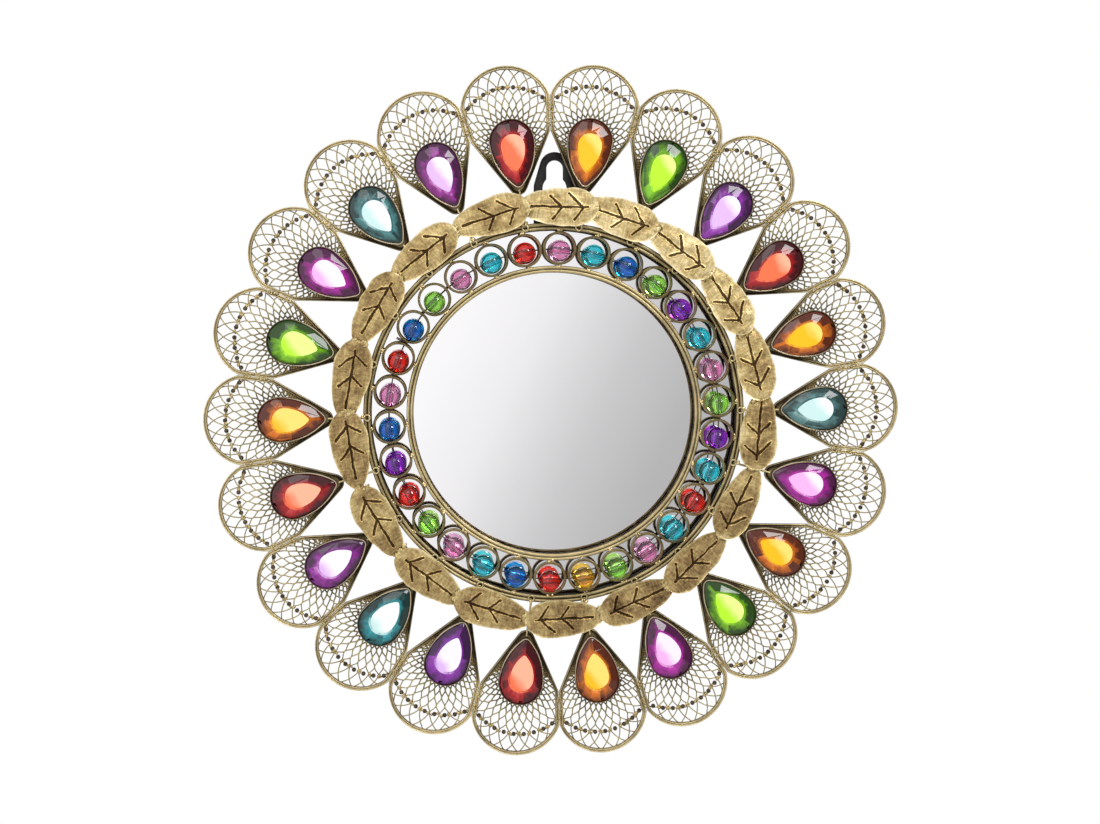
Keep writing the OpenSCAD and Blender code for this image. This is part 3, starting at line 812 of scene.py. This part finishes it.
def threading_wire():
    """The dark wire through all beads, knotted in the gaps between the rings, with its two loose ends."""
    curve = tube_curve("threading_wire", WIRE_R, 2)
    drop = Vector((0, 0, -WIRE_DROP * MM))
    steps = 240
    loop = curve.splines.new("POLY")
    loop.points.add(steps - 1)
    loop.use_cyclic_u = True
    for i, point in enumerate(loop.points):
        point.co = (*(clockwise(i * 360 / steps) @ wall_point(0, BAND_R, BAND_Z) + drop), 1)
    # the loose ends are twisted together in the middle of the gap after the 25th ring
    gap = RING_TURN + 24.5 * RING_STEP
    gap -= math.degrees(math.asin(WIRE_DROP * math.sin(math.radians(gap)) / BAND_R))
    for run in (((0, 0), (1.3, 1.3), (3.4, 2.5), (5.4, 3.1)), ((0, 0), (-0.5, 1.3), (-1.2, 2.4))):
        end = curve.splines.new("POLY")
        end.points.add(len(run) - 1)
        for point, (y, z) in zip(end.points, run):
            point.co = (*(clockwise(gap) @ wall_point(0, BAND_R + y, BAND_Z + z) + drop), 1)
    wire = curve_to_mesh("threading_wire", curve)
    smooth(wire, 60)
    return wire


knots = []
for angle in ring_angles:
    for _ in range(4):
        knots.append(melted_grain(angle + RING_STEP / 2, dice.uniform(-0.3, 0.3),
                                  BAND_R + dice.uniform(-0.65, 0.65), BAND_Z + dice.uniform(-0.3, 0.8),
                                  0.42, 0.62))
wire = gather("knotted_wire", [threading_wire(), granules("wire_knots", knots, flat=0.9)])
place(wire, "mirror", iron, "iron_wire", "bead_wire")


# Beads

def bored_bead():
    """A bead at the origin with its hole along x, spun from half a section."""
    r, bore = BEAD_D / 2 * MM, BEAD_BORE / 2 * MM
    edge = math.asin(bore / r)
    steps = 22
    outer = [(r * math.cos(a), r * math.sin(a))
             for a in (edge + (math.pi - 2 * edge) * i / steps for i in range(steps + 1))]
    lip = r * math.cos(edge)
    inner = [(-lip + 2 * lip * i / 6, bore) for i in range(1, 6)]
    section = outer + inner
    mesh = bpy.data.meshes.new("bead_section")
    mesh.from_pydata([(x, y, 0) for x, y in section],
                     [(i, (i + 1) % len(section)) for i in range(len(section))], [])
    bead = linked("bead_section", mesh)
    pick_only(bead)
    bpy.ops.object.mode_set(mode="EDIT")
    bpy.ops.mesh.select_all(action="SELECT")
    bpy.ops.mesh.spin(steps=44, angle=2 * math.pi, center=(0, 0, 0), axis=(1, 0, 0))
    bpy.ops.mesh.select_all(action="SELECT")
    bpy.ops.mesh.remove_doubles(threshold=1e-6)
    bpy.ops.mesh.normals_make_consistent(inside=False)
    bpy.ops.object.mode_set(mode="OBJECT")
    smooth(bead, 50)
    return bead


pattern = bored_bead()
bead_materials = {colour: bead_material(colour) for colour in BEAD_TINT}
for i, angle in enumerate(ring_angles):
    node = f"bead_{i + 1:02d}"
    bead = duplicate(pattern, f"clear_{node}")
    centre = clockwise(angle) @ wall_point(0, BAND_R, BAND_Z) - Vector((0, 0, BEAD_DROP * MM))
    bead.data.transform(Matrix.Translation(centre) @ clockwise(angle))
    place(bead, node, bead_materials[BEADS[i]], "bead_" + BEADS[i], node)
bpy.data.objects.remove(pattern)


# Leaves

def leaf_half(s):
    """Half a leaf's width at s, which runs from 0 at its tip to 1 at its round base."""
    widest = 0.66
    if s < widest:
        return LEAF_W / 2 * math.sin(math.pi / 2 * s / widest) ** 0.42
    return LEAF_W / 2 * math.sqrt(max(0.0, 1 - ((s - widest) / (1 - widest)) ** 2))


def leaf_spot(s, v, seed):
    """A point halfway through a leaf's sheet: s along from its tip, v across from -1 to 1."""
    camber_rise, middle_fold, edge_lip, sink = 0.60, 0.45, 0.34, 0.25
    half = max(leaf_half(s), 0.02)
    x = (s - 0.5) * LEAF_L
    ragged = noise.noise(Vector((s * 7, v * 2 + 9, seed * 5.3))) - 0.6
    y = v * half * (1 + 0.07 * ragged * v * v)
    dent = noise.noise(Vector((x * 0.17 + seed * 7.3, y * 0.17, seed))) * 0.55
    dent += noise.noise(Vector((x * 0.5, y * 0.5 + seed * 3.1, seed))) * 0.16
    camber = camber_rise * (1 - v * v) * (half / (LEAF_W / 2)) - sink + edge_lip * abs(v) ** 8
    fold = middle_fold * math.exp(-(y / 1.5) ** 2) * math.sin(math.pi * s)
    return x, y, LEAF_T / 2 + camber - fold + dent * (1 - abs(v) ** 6)


def sheet_faces(along, across):
    """Faces of a sheet of two equal layers of points, closed round its four edges."""
    row = across + 1
    n = (along + 1) * row
    faces = []
    for i in range(along):
        for j in range(across):
            a, b, c, d = i * row + j, (i + 1) * row + j, (i + 1) * row + j + 1, i * row + j + 1
            faces.append((a, b, c, d))
            faces.append((n + d, n + c, n + b, n + a))
    for i in range(along):
        faces.append((i * row, n + i * row, n + (i + 1) * row, (i + 1) * row))
        a, b = i * row + across, (i + 1) * row + across
        faces.append((a, b, n + b, n + a))
    for j in range(across):
        faces.append((j + 1, n + j + 1, n + j, j))
        a = along * row + j
        faces.append((a, n + a, n + a + 1, a + 1))
    return faces


def beaten_leaf(seed):
    """One leaf at twelve o'clock: cambered, a little uneven, its base standing forward of its tip."""
    along, across = 46, 18
    top, bottom, uvs, edges = [], [], [], []
    for i in range(along + 1):
        # closer together towards the tip and the base
        turn = math.cos(math.pi * i / along)
        s = 0.5 - 0.5 * turn * (0.85 + 0.15 * abs(turn))
        for j in range(across + 1):
            v = -1 + 2 * j / across
            x, y, z = leaf_spot(s, v, seed)
            top.append((x, y, z + LEAF_T / 2))
            bottom.append((x, y, z - LEAF_T / 2))
            uvs.append((s, y / LEAF_L))
            # painted highlight: a leaf is lighter along its border
            edges.append(max(abs(v), abs(2 * s - 1)) ** 12)
    tilt = Matrix.Rotation(math.radians(-LEAF_TILT), 4, "Y")
    to_wall = ON_WALL @ Matrix.Translation((0, LEAF_R, LEAF_Z)) @ tilt
    leaf = mesh_from("beaten_leaf", [to_wall @ Vector(p) for p in top + bottom], sheet_faces(along, across))
    leaf.data.color_attributes.new("rubbing_and_light", "FLOAT_COLOR", "CORNER")
    leaf.data.uv_layers.new(name="leaf")
    rubbing_and_light = leaf.data.color_attributes["rubbing_and_light"].data
    uv = leaf.data.uv_layers["leaf"].data
    # painted light: a leaf is lightest when it hangs near the upper right, with a little random difference
    # from leaf to leaf
    bearing = math.radians(LEAF_ANGLES[seed - 1])
    worn_and_lit = 0.475 + 0.16 * math.cos(bearing - 0.3) + 0.11 * math.cos(2 * (bearing - 0.61))
    worn_and_lit += 0.12 * noise.noise(Vector((seed, 0.4, 4)))
    for loop in leaf.data.loops:
        spot = loop.vertex_index % len(top)
        uv[loop.index].uv = uvs[spot]
        rubbing_and_light[loop.index].color = (worn_and_lit, edges[spot], 0, 1)
    smooth(leaf, 40)
    return leaf


leaves = []
for i, angle in enumerate(LEAF_ANGLES):
    leaf = beaten_leaf(i + 1)
    leaf.data.transform(clockwise(angle))
    leaves.append(leaf)
place(gather("beaten_leaves", leaves), "mirror", leaf_brass(), "leaf_brass", "garland_leaves")

# crumpled brass where one leaf lies on the next, and golden solder where the stems' curls sit on the hoop
creases = []
for angle in LEAF_ANGLES:
    joint = angle + math.degrees(LEAF_L * LEAF_JOINT_AT / LEAF_R)
    for _ in range(12):
        creases.append(melted_grain(joint, dice.uniform(-1.8, 1.8), LEAF_R + dice.uniform(-3.4, 3.4),
                                    LEAF_Z + dice.uniform(0.5, 0.9), 0.9, 2.0))
place(granules("leaf_joint_creases", creases, flat=0.5, ragged=0.9), "mirror", crumpled_brass, "leaf_brass")
lumps = []
petal_angles = [PETAL_FIRST + k * PETAL_STEP for k in range(PETAL_COUNT)]
for angle in petal_angles:
    for _ in range(dice.choice((0, 2, 8))):
        lumps.append(melted_grain(angle, dice.uniform(-1.6, 1.6), HOOP_MID_R + dice.uniform(1.4, 3.6),
                                  BAND_Z + dice.uniform(1.9, 3.0), 0.45, 0.95))
place(granules("garland_solder", lumps, flat=0.7), "mirror", solder_brass, "solder")


# Petal rims

def petal_strip():
    """The strip round a petal: two rounded edges with a groove between them, and a flat back."""
    front = RIM_Z + RIM_DEPTH
    section = [(0.06, RIM_Z), (0.06, front - 0.4), (0.16, front - 0.1), (0.40, front), (0.66, front - 0.12),
               (0.84, front - 0.44), (1.02, front - 0.52), (1.20, front - 0.42), (1.36, front - 0.12),
               (1.64, front - 0.02), (1.90, front - 0.14), (2.05, front - 0.5), (2.05, RIM_Z)]
    strip = swept_loops("petal_strip", [petal_loop(w, z) for w, z in section])
    smooth(strip, 45)
    # painted shade deepens towards the petal's tip, less so on the outer edge
    starts_at, full_after = 162, 26
    painted_shade = []
    for vertex in strip.data.vertices:
        w = section[vertex.index // len(PETAL_RAYS)][0]
        deep = clamp((starts_at - math.hypot(vertex.co.x, vertex.co.z) / MM) / full_after)
        painted_shade.append(deep if w > 0.75 else deep * 0.45)
    mark_points(strip, "tip_shade", painted_shade)
    return strip


strips = round_the_mirror(petal_strip(), "petal_strips", petal_angles)
place(strips, "mirror", rim_brass, "rim_brass", "petal_rims")


# Lace

def crossing_threads():
    """Outside the arc of studs: straight threads that cross on their way to the rim."""
    threads = []
    for k in range(-5, 5):
        a = (k + 0.5) * STUD_PITCH
        x0, y0 = from_cup(STUD_ARC, a)
        if not in_petal(x0, y0, RIM_WALL):
            continue
        for lean in (-1, 1):
            x1, y1 = petal_edge(a + lean * STUD_PITCH, RIM_WALL - 0.3)
            if math.hypot(x1, y1 - CUP_Y) < STUD_ARC + 0.8:
                continue
            line = []
            for i in range(7):
                u = i / 6
                bow = -lean * 0.09 * 4 * u * (1 - u)
                line.append((x0 + (x1 - x0) * u + (y1 - y0) * bow, y0 + (y1 - y0) * u - (x1 - x0) * bow))
            threads.append(line)
    return threads


def cup_bearing(column):
    """Bearing of a column of cells round the cup, with equal steps along its edge."""
    side = 1 if column >= 0 else -1
    column = abs(column)
    round_steps = 90 / STUD_PITCH
    if column <= round_steps:
        return side * column * STUD_PITCH
    pitch = math.radians(STUD_PITCH) * CUP_R
    flank = CUP_FLANK * CUP_FLANK_A
    return side * (90 + min(1.25, (column - round_steps) * pitch / flank) * (CUP_TIP_FROM - 90))


def cell_spot(column, t):
    """The point t of the way out from the cup in a column of cells, and the room that it has there."""
    a = cup_bearing(column)
    x, y, nx, ny = pear_edge(a if a >= 0 else a + 360, 0.25)
    y += CUP_Y
    room = petal_reach(x, y, nx, ny, RIM_WALL - 0.25)
    if abs(a) < 60:
        room = min(room, STUD_ARC - CUP_R + 0.25)
    return x + nx * room * t, y + ny * room * t, room


# where the rows of cells in a column meet, from its outer end in to the cup, by the least room for them
CELL_ROWS = ((1.0, (1.0, 0.02)), (2.4, (1.0, 0.45, 0.02)), (5.5, (1.0, 0.62, 0.28, 0.02)),
             (9, (1.0, 0.73, 0.45, 0.2, 0.02)))


def cell_threads():
    """Inside the arc of studs: rows of oval cells that follow the cup, more rows where there is room."""
    threads = []
    for k in range(-18, 18):
        start = k + 0.5
        room = cell_spot(start, 0)[2]
        fitting = [rows for least, rows in CELL_ROWS if room > least]
        if not fitting:
            continue
        levels = fitting[-1]
        for lean in (-1, 1):
            line = []
            for i in range(len(levels) - 1):
                c0 = start + (0.5 * lean if i % 2 else 0)
                c1 = start + (0 if i % 2 else 0.5 * lean)
                for j in range(5):
                    u = j / 5
                    swing = (1 - math.cos(math.pi * u)) / 2
                    t = levels[i] + (levels[i + 1] - levels[i]) * u
                    line.append(cell_spot(c0 + (c1 - c0) * swing, t)[:2])
            line.append(cell_spot(start + (0.5 * lean if len(levels) % 2 == 0 else 0), levels[-1])[:2])
            threads.append(line)
    return threads


def petal_lace():
    """The open lace of one petal, with thicker threads towards the cup, darkened there by painted shade."""
    curve = tube_curve("petal_lace", 0.31, 0)
    for line in crossing_threads() + cell_threads():
        spline = curve.splines.new("POLY")
        spline.points.add(len(line) - 1)
        for point, (x, y) in zip(spline.points, line):
            point.co = (*wall_point(x, y, (NET_Z + NET_TOP) / 2 + 0.1), 1)
            point.radius = 1.0 + 0.4 * clamp((24 - math.hypot(x, y - CUP_Y)) / 11)
    lace = curve_to_mesh("petal_lace", curve)
    # painted shade: threads darken within some 9 mm of the cup, fully along its flanks and less over its
    # round end
    painted_shade = []
    for vertex in lace.data.vertices:
        x, y = abs(vertex.co.x) / MM, vertex.co.z / MM - CUP_Y
        if y > 0:
            away = math.hypot(x, y) - CUP_R
        else:
            away = math.hypot(x + CUP_FLANK_X, y) - CUP_FLANK
        beside = 1.0 if y < 0 else 0.62 + 0.38 * min(1.0, x / CUP_R)
        painted_shade.append(clamp(1.15 - away / 8) * beside)
    mark_points(lace, "cup_shade", painted_shade)
    return lace


lace = petal_lace()
place(round_the_mirror(lace, "petal_laces", petal_angles), "mirror", lace_brass, "aged_brass", "petal_nets")


def tip_web():
    """The closed part of the sheet, from the strip's inside in under the cup, round the petal's tip; its
    dark colour is a painted shade.
    """
    first, last, steps = 96, 264, 56
    rim_side, cup_side = [], []
    for i in range(steps + 1):
        a = first + (last - first) * i / steps
        widening = clamp((84 - abs(a - 180)) / 26)
        rim_side.append(petal_edge(a, RIM_WALL - 0.4))
        cup_side.append(petal_edge(a, RIM_WALL + 5.2 * widening ** 1.7))
    n = len(rim_side)
    corners = rim_side + cup_side
    points = [wall_point(x, y, z) for z in (NET_Z, NET_TOP) for x, y in corners]
    faces = []
    for i in range(n - 1):
        faces.append((i, i + 1, n + i + 1, n + i))
        faces.append((3 * n + i, 3 * n + i + 1, 2 * n + i + 1, 2 * n + i))
        faces.append((i, i + 1, 2 * n + i + 1, 2 * n + i))
        faces.append((n + i, n + i + 1, 3 * n + i + 1, 3 * n + i))
    for i in (0, n - 1):
        faces.append((i, n + i, 3 * n + i, 2 * n + i))
    return mesh_from("tip_web", points, faces)


webs = round_the_mirror(tip_web(), "petal_tip_webs", petal_angles)
place(webs, "mirror", shaded_web_brass, "aged_brass", "petal_nets")

# rows of grains like ladders' bars on both flanks; near the tip they are dark, a painted shade
light_grains, shaded_grains = [], []
for angle in petal_angles:
    for side in (-1, 1):
        for i in range(13):
            bearing = side * (100 + i * 5.2 + dice.uniform(-0.6, 0.6))
            grains = shaded_grains if i > 9 else light_grains
            reach = petal_reach(0, CUP_Y, *unit(bearing), RIM_WALL + 0.4)
            for step in range(4):
                x, y = from_cup(reach - step * 0.62 + dice.uniform(-0.1, 0.1), bearing)
                grains.append(melted_grain(angle, x, y, NET_TOP + dice.uniform(0.1, 0.35), 0.34, 0.56))
place(granules("flank_ladders", light_grains, flat=0.8), "mirror", crumpled_brass, "aged_brass")
place(granules("tip_grains", shaded_grains, flat=0.8), "mirror", shaded_web_brass, "aged_brass")


# Studs and grains on the arc

def hollow_stud():
    """A short stud at the origin whose front is dished."""
    bpy.ops.mesh.primitive_cylinder_add(vertices=10, radius=STUD_D / 2 * MM, depth=0.9 * MM,
                                        rotation=(math.pi / 2, 0, 0), location=(0, 0, 0))
    stud = named("hollow_stud")
    bpy.ops.object.transform_apply(location=False, rotation=True, scale=True)
    mesh = bmesh.new()
    mesh.from_mesh(stud.data)
    mesh.faces.ensure_lookup_table()
    front = min(mesh.faces, key=lambda f: f.calc_center_median().y)
    bmesh.ops.inset_individual(mesh, faces=[front], thickness=0.32 * MM)
    bmesh.ops.translate(mesh, verts=front.verts, vec=(0, 0.35 * MM, 0))
    mesh.to_mesh(stud.data)
    mesh.free()
    smooth(stud, 35)
    return stud


stud = hollow_stud()
studs = []
for i in range(STUD_COUNT):
    x, y = from_cup(STUD_ARC, (i - (STUD_COUNT - 1) / 2) * STUD_PITCH)
    copy = duplicate(stud, f"stud_{i}")
    copy.data.transform(Matrix.Translation(wall_point(x, y, NET_TOP + 0.2)))
    studs.append(copy)
bpy.data.objects.remove(stud)
studs = round_the_mirror(gather("petal_stud_row", studs), "hollow_studs", petal_angles)
place(studs, "mirror", dark_stud, "dark_brass", "petal_studs")

arc_grains = []
for angle in petal_angles:
    for i in range(STUD_COUNT + 1):
        for _ in range(5):
            x, y = from_cup(STUD_ARC + dice.uniform(-0.75, 0.75),
                            (i - STUD_COUNT / 2 + dice.uniform(-0.26, 0.26)) * STUD_PITCH)
            if in_petal(x, y, 1.0):
                arc_grains.append(melted_grain(angle, x, y, NET_TOP + dice.uniform(0.0, 0.3), 0.5, 0.95))
place(granules("arc_grains", arc_grains, flat=0.7), "mirror", crumpled_brass, "rim_brass")


# Solder between the petals
seam_grains = []
for k in range(PETAL_COUNT):
    angle = PETAL_FIRST + (k + 0.5) * PETAL_STEP
    for y0 in (PETAL_R - 6.5, PETAL_R + 1.5):
        for _ in range(11):
            seam_grains.append(melted_grain(angle, clamp(dice.gauss(0, 0.9), -1.8, 1.8),
                                            y0 + dice.gauss(0, 2.0),
                                            RIM_Z + RIM_DEPTH - 0.35 + dice.uniform(0, 0.5), 0.45, 0.85))
place(granules("seam_solder", seam_grains, flat=0.75), "mirror", crumpled_brass, "solder", "petal_solder")


# Cups

def stone_cup():
    """A cup with a rolled lip and a flat floor that is open in the middle."""
    floor = NET_TOP + 0.06
    section = [(0.0, floor), (0.0, CUP_TOP - 0.25), (0.1, CUP_TOP - 0.05), (0.28, CUP_TOP),
               (0.5, CUP_TOP - 0.08), (CUP_WALL, CUP_TOP - 0.3), (CUP_WALL, floor + CUP_WALL),
               (4.0, floor + CUP_WALL)]
    cup = swept_loops("stone_cup", [pear_loop(w, z) for w, z in section], closed=False)
    smooth(cup, 45)
    return cup


cups = round_the_mirror(stone_cup(), "bezel_cups", petal_angles)
place(cups, "mirror", cup_brass, "aged_brass", "stone_cups")


# Stones

GIRDLE_RAYS = PEAR_STEPS[::2]
BEND_RAYS = GIRDLE_RAYS[::2]
STONE_MIDDLE = (CUP_R - CUP_TIP) / 2 + 0.6


def stone_corners():
    """A stone's corners, row by row: its bottom, girdle, the bend of its crown, its step and its table."""
    corners = []
    for rays, share, z in ((GIRDLE_RAYS, 1.0, 13.75), (GIRDLE_RAYS, 1.0, 17.3), (BEND_RAYS, 0.9, 18.3),
                           (PEAR_STEPS, 0.63, 19.75), (PEAR_STEPS, 0.55, 20.1)):
        for a in rays:
            x, y, _, _ = pear_edge(a, CUP_WALL + 0.1)
            corners.append((x * share, CUP_Y + STONE_MIDDLE + (y - STONE_MIDDLE) * share, z))
    return corners


def stone_facets():
    """Each facet: its corners, its zone, how far its tone varies, and its tone where that is given."""
    g, m, t = len(GIRDLE_RAYS), len(BEND_RAYS), len(PEAR_STEPS)
    girdle, bend, step, table = g, 2 * g, 2 * g + m, 2 * g + m + t
    yield tuple(range(g))[::-1], CROWN, 0.0, 0.1
    for k in range(g):
        n = (k + 1) % g
        yield (k, n, girdle + n, girdle + k), CROWN, 0.0, 0.12
        if k % 2 == 0:
            yield (girdle + k, girdle + n, bend + k // 2), CROWN, 0.14, None
        else:
            after = bend + (k + 1) // 2 % m
            yield (girdle + k, girdle + n, after), CROWN, 0.1, None
            yield (girdle + k, after, bend + k // 2), CROWN, 0.14, None
    for k in range(m):
        inner_edge = [step + i % t for i in range(4 * k, min(4 * k + 4, t) + 1)]
        yield (bend + k, bend + (k + 1) % m, *reversed(inner_edge)), CROWN, 0.18, None
    for k in range(t):
        n = (k + 1) % t
        yield (step + k, step + n, table + n, table + k), STEP, 0.05, None
    yield tuple(table + k for k in range(t)), TABLE, 0.0, 0.5


def cut_stone(seed, turn):
    """A pear-cut stone at twelve o'clock: girdle facets, broad crown facets, a step and a flat table.

    Each facet gets a painted tone from where it will face once the stone is turned to its place: painted
    light gathers in the lower left of every stone and painted shade keeps the top deep.
    """
    chance = random.Random(seed)
    turn = math.radians(turn)
    corners = stone_corners()

    def as_hung(x, y):
        return x * math.cos(turn) + y * math.sin(turn), -x * math.sin(turn) + y * math.cos(turn)

    faces, marks = [], []
    for face, zone, spread, given in stone_facets():
        x = sum(corners[i][0] for i in face) / len(face)
        y = sum(corners[i][1] for i in face) / len(face)
        wx, wy = as_hung(x, y - CUP_Y - STONE_MIDDLE)
        light = max(0.0, (-0.55 * wx - 0.83 * wy) / (math.hypot(wx, wy) or 1.0))
        tone = (0.26 + 0.44 * light ** 1.6) if zone else (0.16 + 0.34 * light ** 1.8)
        tone = tone if given is None else given
        faces.append(face)
        marks.append((zone, clamp(tone + chance.uniform(-spread, spread))))
    stone = mesh_from("cut_stone", [wall_point(*p) for p in corners], faces)
    stone.data.color_attributes.new("cut", "FLOAT_COLOR", "CORNER")
    stone.data.uv_layers.new(name="stone")
    uv = stone.data.uv_layers["stone"].data
    cut = stone.data.color_attributes["cut"].data
    mid_crown_z, half_crown, pattern_span = 18.9, 1.7, 25
    for polygon, (zone, tone) in zip(stone.data.polygons, marks):
        polygon.use_smooth = False
        for loop in polygon.loop_indices:
            x, y, z = corners[stone.data.loops[loop].vertex_index]
            x, y = x / pattern_span, (y - CUP_Y) / pattern_span
            wx, wy = as_hung(x, y)
            # painted shade: crown facets low by the girdle are darker, those up by the table lighter
            rise = max(-0.7, (z - mid_crown_z) / half_crown)
            uv[loop].uv = (x + seed * 1.7, y)
            cut[loop].color = (zone, tone if zone else clamp(tone + 0.34 * rise),
                               clamp(0.5 + wx + 0.8 * wy), LEANING.get(seed - 1, 0.0))
    return stone


for colour in STONE_TINT:
    group = []
    for k, angle in enumerate(petal_angles):
        if STONES[k] == colour:
            stone = cut_stone(k + 1, angle)
            stone.data.transform(clockwise(angle))
            group.append(stone)
    place(gather(f"cut_stones_{colour}", group), "mirror", stone_material(colour), "stone_" + colour,
          "stones_" + colour)


# Floor, lights and camera, in metres

def mix_shaders(tree, factor, a, b):
    node = add_node(tree, "ShaderNodeMixShader")
    feed(tree, node, {0: factor, 1: a.outputs[0], 2: b.outputs[0]})
    return node


def pale_floor():
    """White to the camera but for its shadow; pale to everything else."""
    bpy.ops.mesh.primitive_plane_add(size=3.2, location=(0, -0.5, -0.62))
    floor = named("pale_floor")
    material, tree, shader = new_material("pale_floor")
    feed(tree, shader, {"Base Color": (0.92, 0.92, 0.92), "Roughness": 0.9})
    glow = add_node(tree, "ShaderNodeEmission")
    feed(tree, glow, {"Color": (1, 1, 1)})
    path = add_node(tree, "ShaderNodeLightPath").outputs
    surface = mix_shaders(tree, math_node(tree, "MULTIPLY", path["Is Camera Ray"], 0.95), shader, glow)
    # in the pane and in the metal its far edge fades into the studio, so that no hard line shows there
    away = add_node(tree, "ShaderNodeVectorMath", operation="LENGTH")
    tree.links.new(object_place(tree), away.inputs[0])
    far = math_node(tree, "MULTIPLY_ADD", away.outputs["Value"], 1.25, -0.75, limit=True)
    surface = mix_shaders(tree, math_node(tree, "MULTIPLY", far, path["Is Glossy Ray"]),
                          surface, add_node(tree, "ShaderNodeBsdfTransparent"))
    tree.links.new(surface.outputs[0], tree.nodes["Material Output"].inputs["Surface"])
    floor.data.materials.append(material)


def studio_world():
    """White to the camera; to metal and glass, a wide soft light high on the left."""
    # how bright the studio is from the lower right, 0, to the upper left, 1
    greys = ((0.0, 0.20), (0.32, 0.36), (0.421, 0.488), (0.441, 0.617), (0.4533, 0.74), (0.4657, 0.888),
             (0.4854, 0.99), (1.0, 1.1))
    world = bpy.data.worlds.new("studio")
    bpy.context.scene.world = world
    world.use_nodes = True
    tree = world.node_tree
    background = tree.nodes["Background"]
    along = add_node(tree, "ShaderNodeVectorMath", operation="DOT_PRODUCT")
    along.inputs[1].default_value = Vector((-2, 0, 1)).normalized()
    tree.links.new(add_node(tree, "ShaderNodeTexCoord").outputs["Generated"], along.inputs[0])
    towards = weighed(tree, 0.5, (along.outputs["Value"], 0.5))
    soft = colour_ramp(tree, towards, tuple((spot, (grey, grey * 0.99, grey)) for spot, grey in greys))
    path = add_node(tree, "ShaderNodeLightPath").outputs
    shiny = math_node(tree, "MAXIMUM", path["Is Glossy Ray"], path["Is Transmission Ray"])
    fill = mix_colour(tree, shiny, (0.62, 0.62, 0.63), soft)
    feed(tree, background, {"Color": mix_colour(tree, path["Is Camera Ray"], fill, (1.0, 1.0, 1.0)),
                            "Strength": 1.0})


def aim(piece, at):
    piece.rotation_euler = (Vector(at) - piece.location).to_track_quat("-Z", "Y").to_euler()


def soft_light(name, place_at, size, watts):
    """A square soft light, aimed at the mirror's middle."""
    bpy.ops.object.light_add(type="AREA", location=place_at)
    lamp = named(name)
    lamp.data.shape = "RECTANGLE"
    lamp.data.size = lamp.data.size_y = size
    lamp.data.energy = watts
    aim(lamp, (0, 0, 0))


def camera():
    """Almost square on, a little from the left and from above."""
    sensor_width, width_in_view = 36, 0.6111
    aim_at = Vector((-0.0026, -0.0130, 0.0010))
    bpy.ops.object.camera_add(location=(-0.0765, -1.0655, 0.0741))
    eye = named("front_camera")
    aim(eye, aim_at)
    eye.data.sensor_width = sensor_width
    eye.data.lens = sensor_width * (aim_at - eye.location).length / width_in_view
    eye.data.clip_start = 0.01
    bpy.context.scene.camera = eye


pale_floor()
studio_world()
soft_light("key_light", (0.85, -1.3, 1.05), 0.6, 16)
soft_light("fill_light", (-1.1, -1.2, 0.3), 1.7, 5)
soft_light("top_light", (-0.45, -1.15, 1.2), 0.7, 4)
camera()
bpy.context.scene.view_settings.view_transform = "Standard"
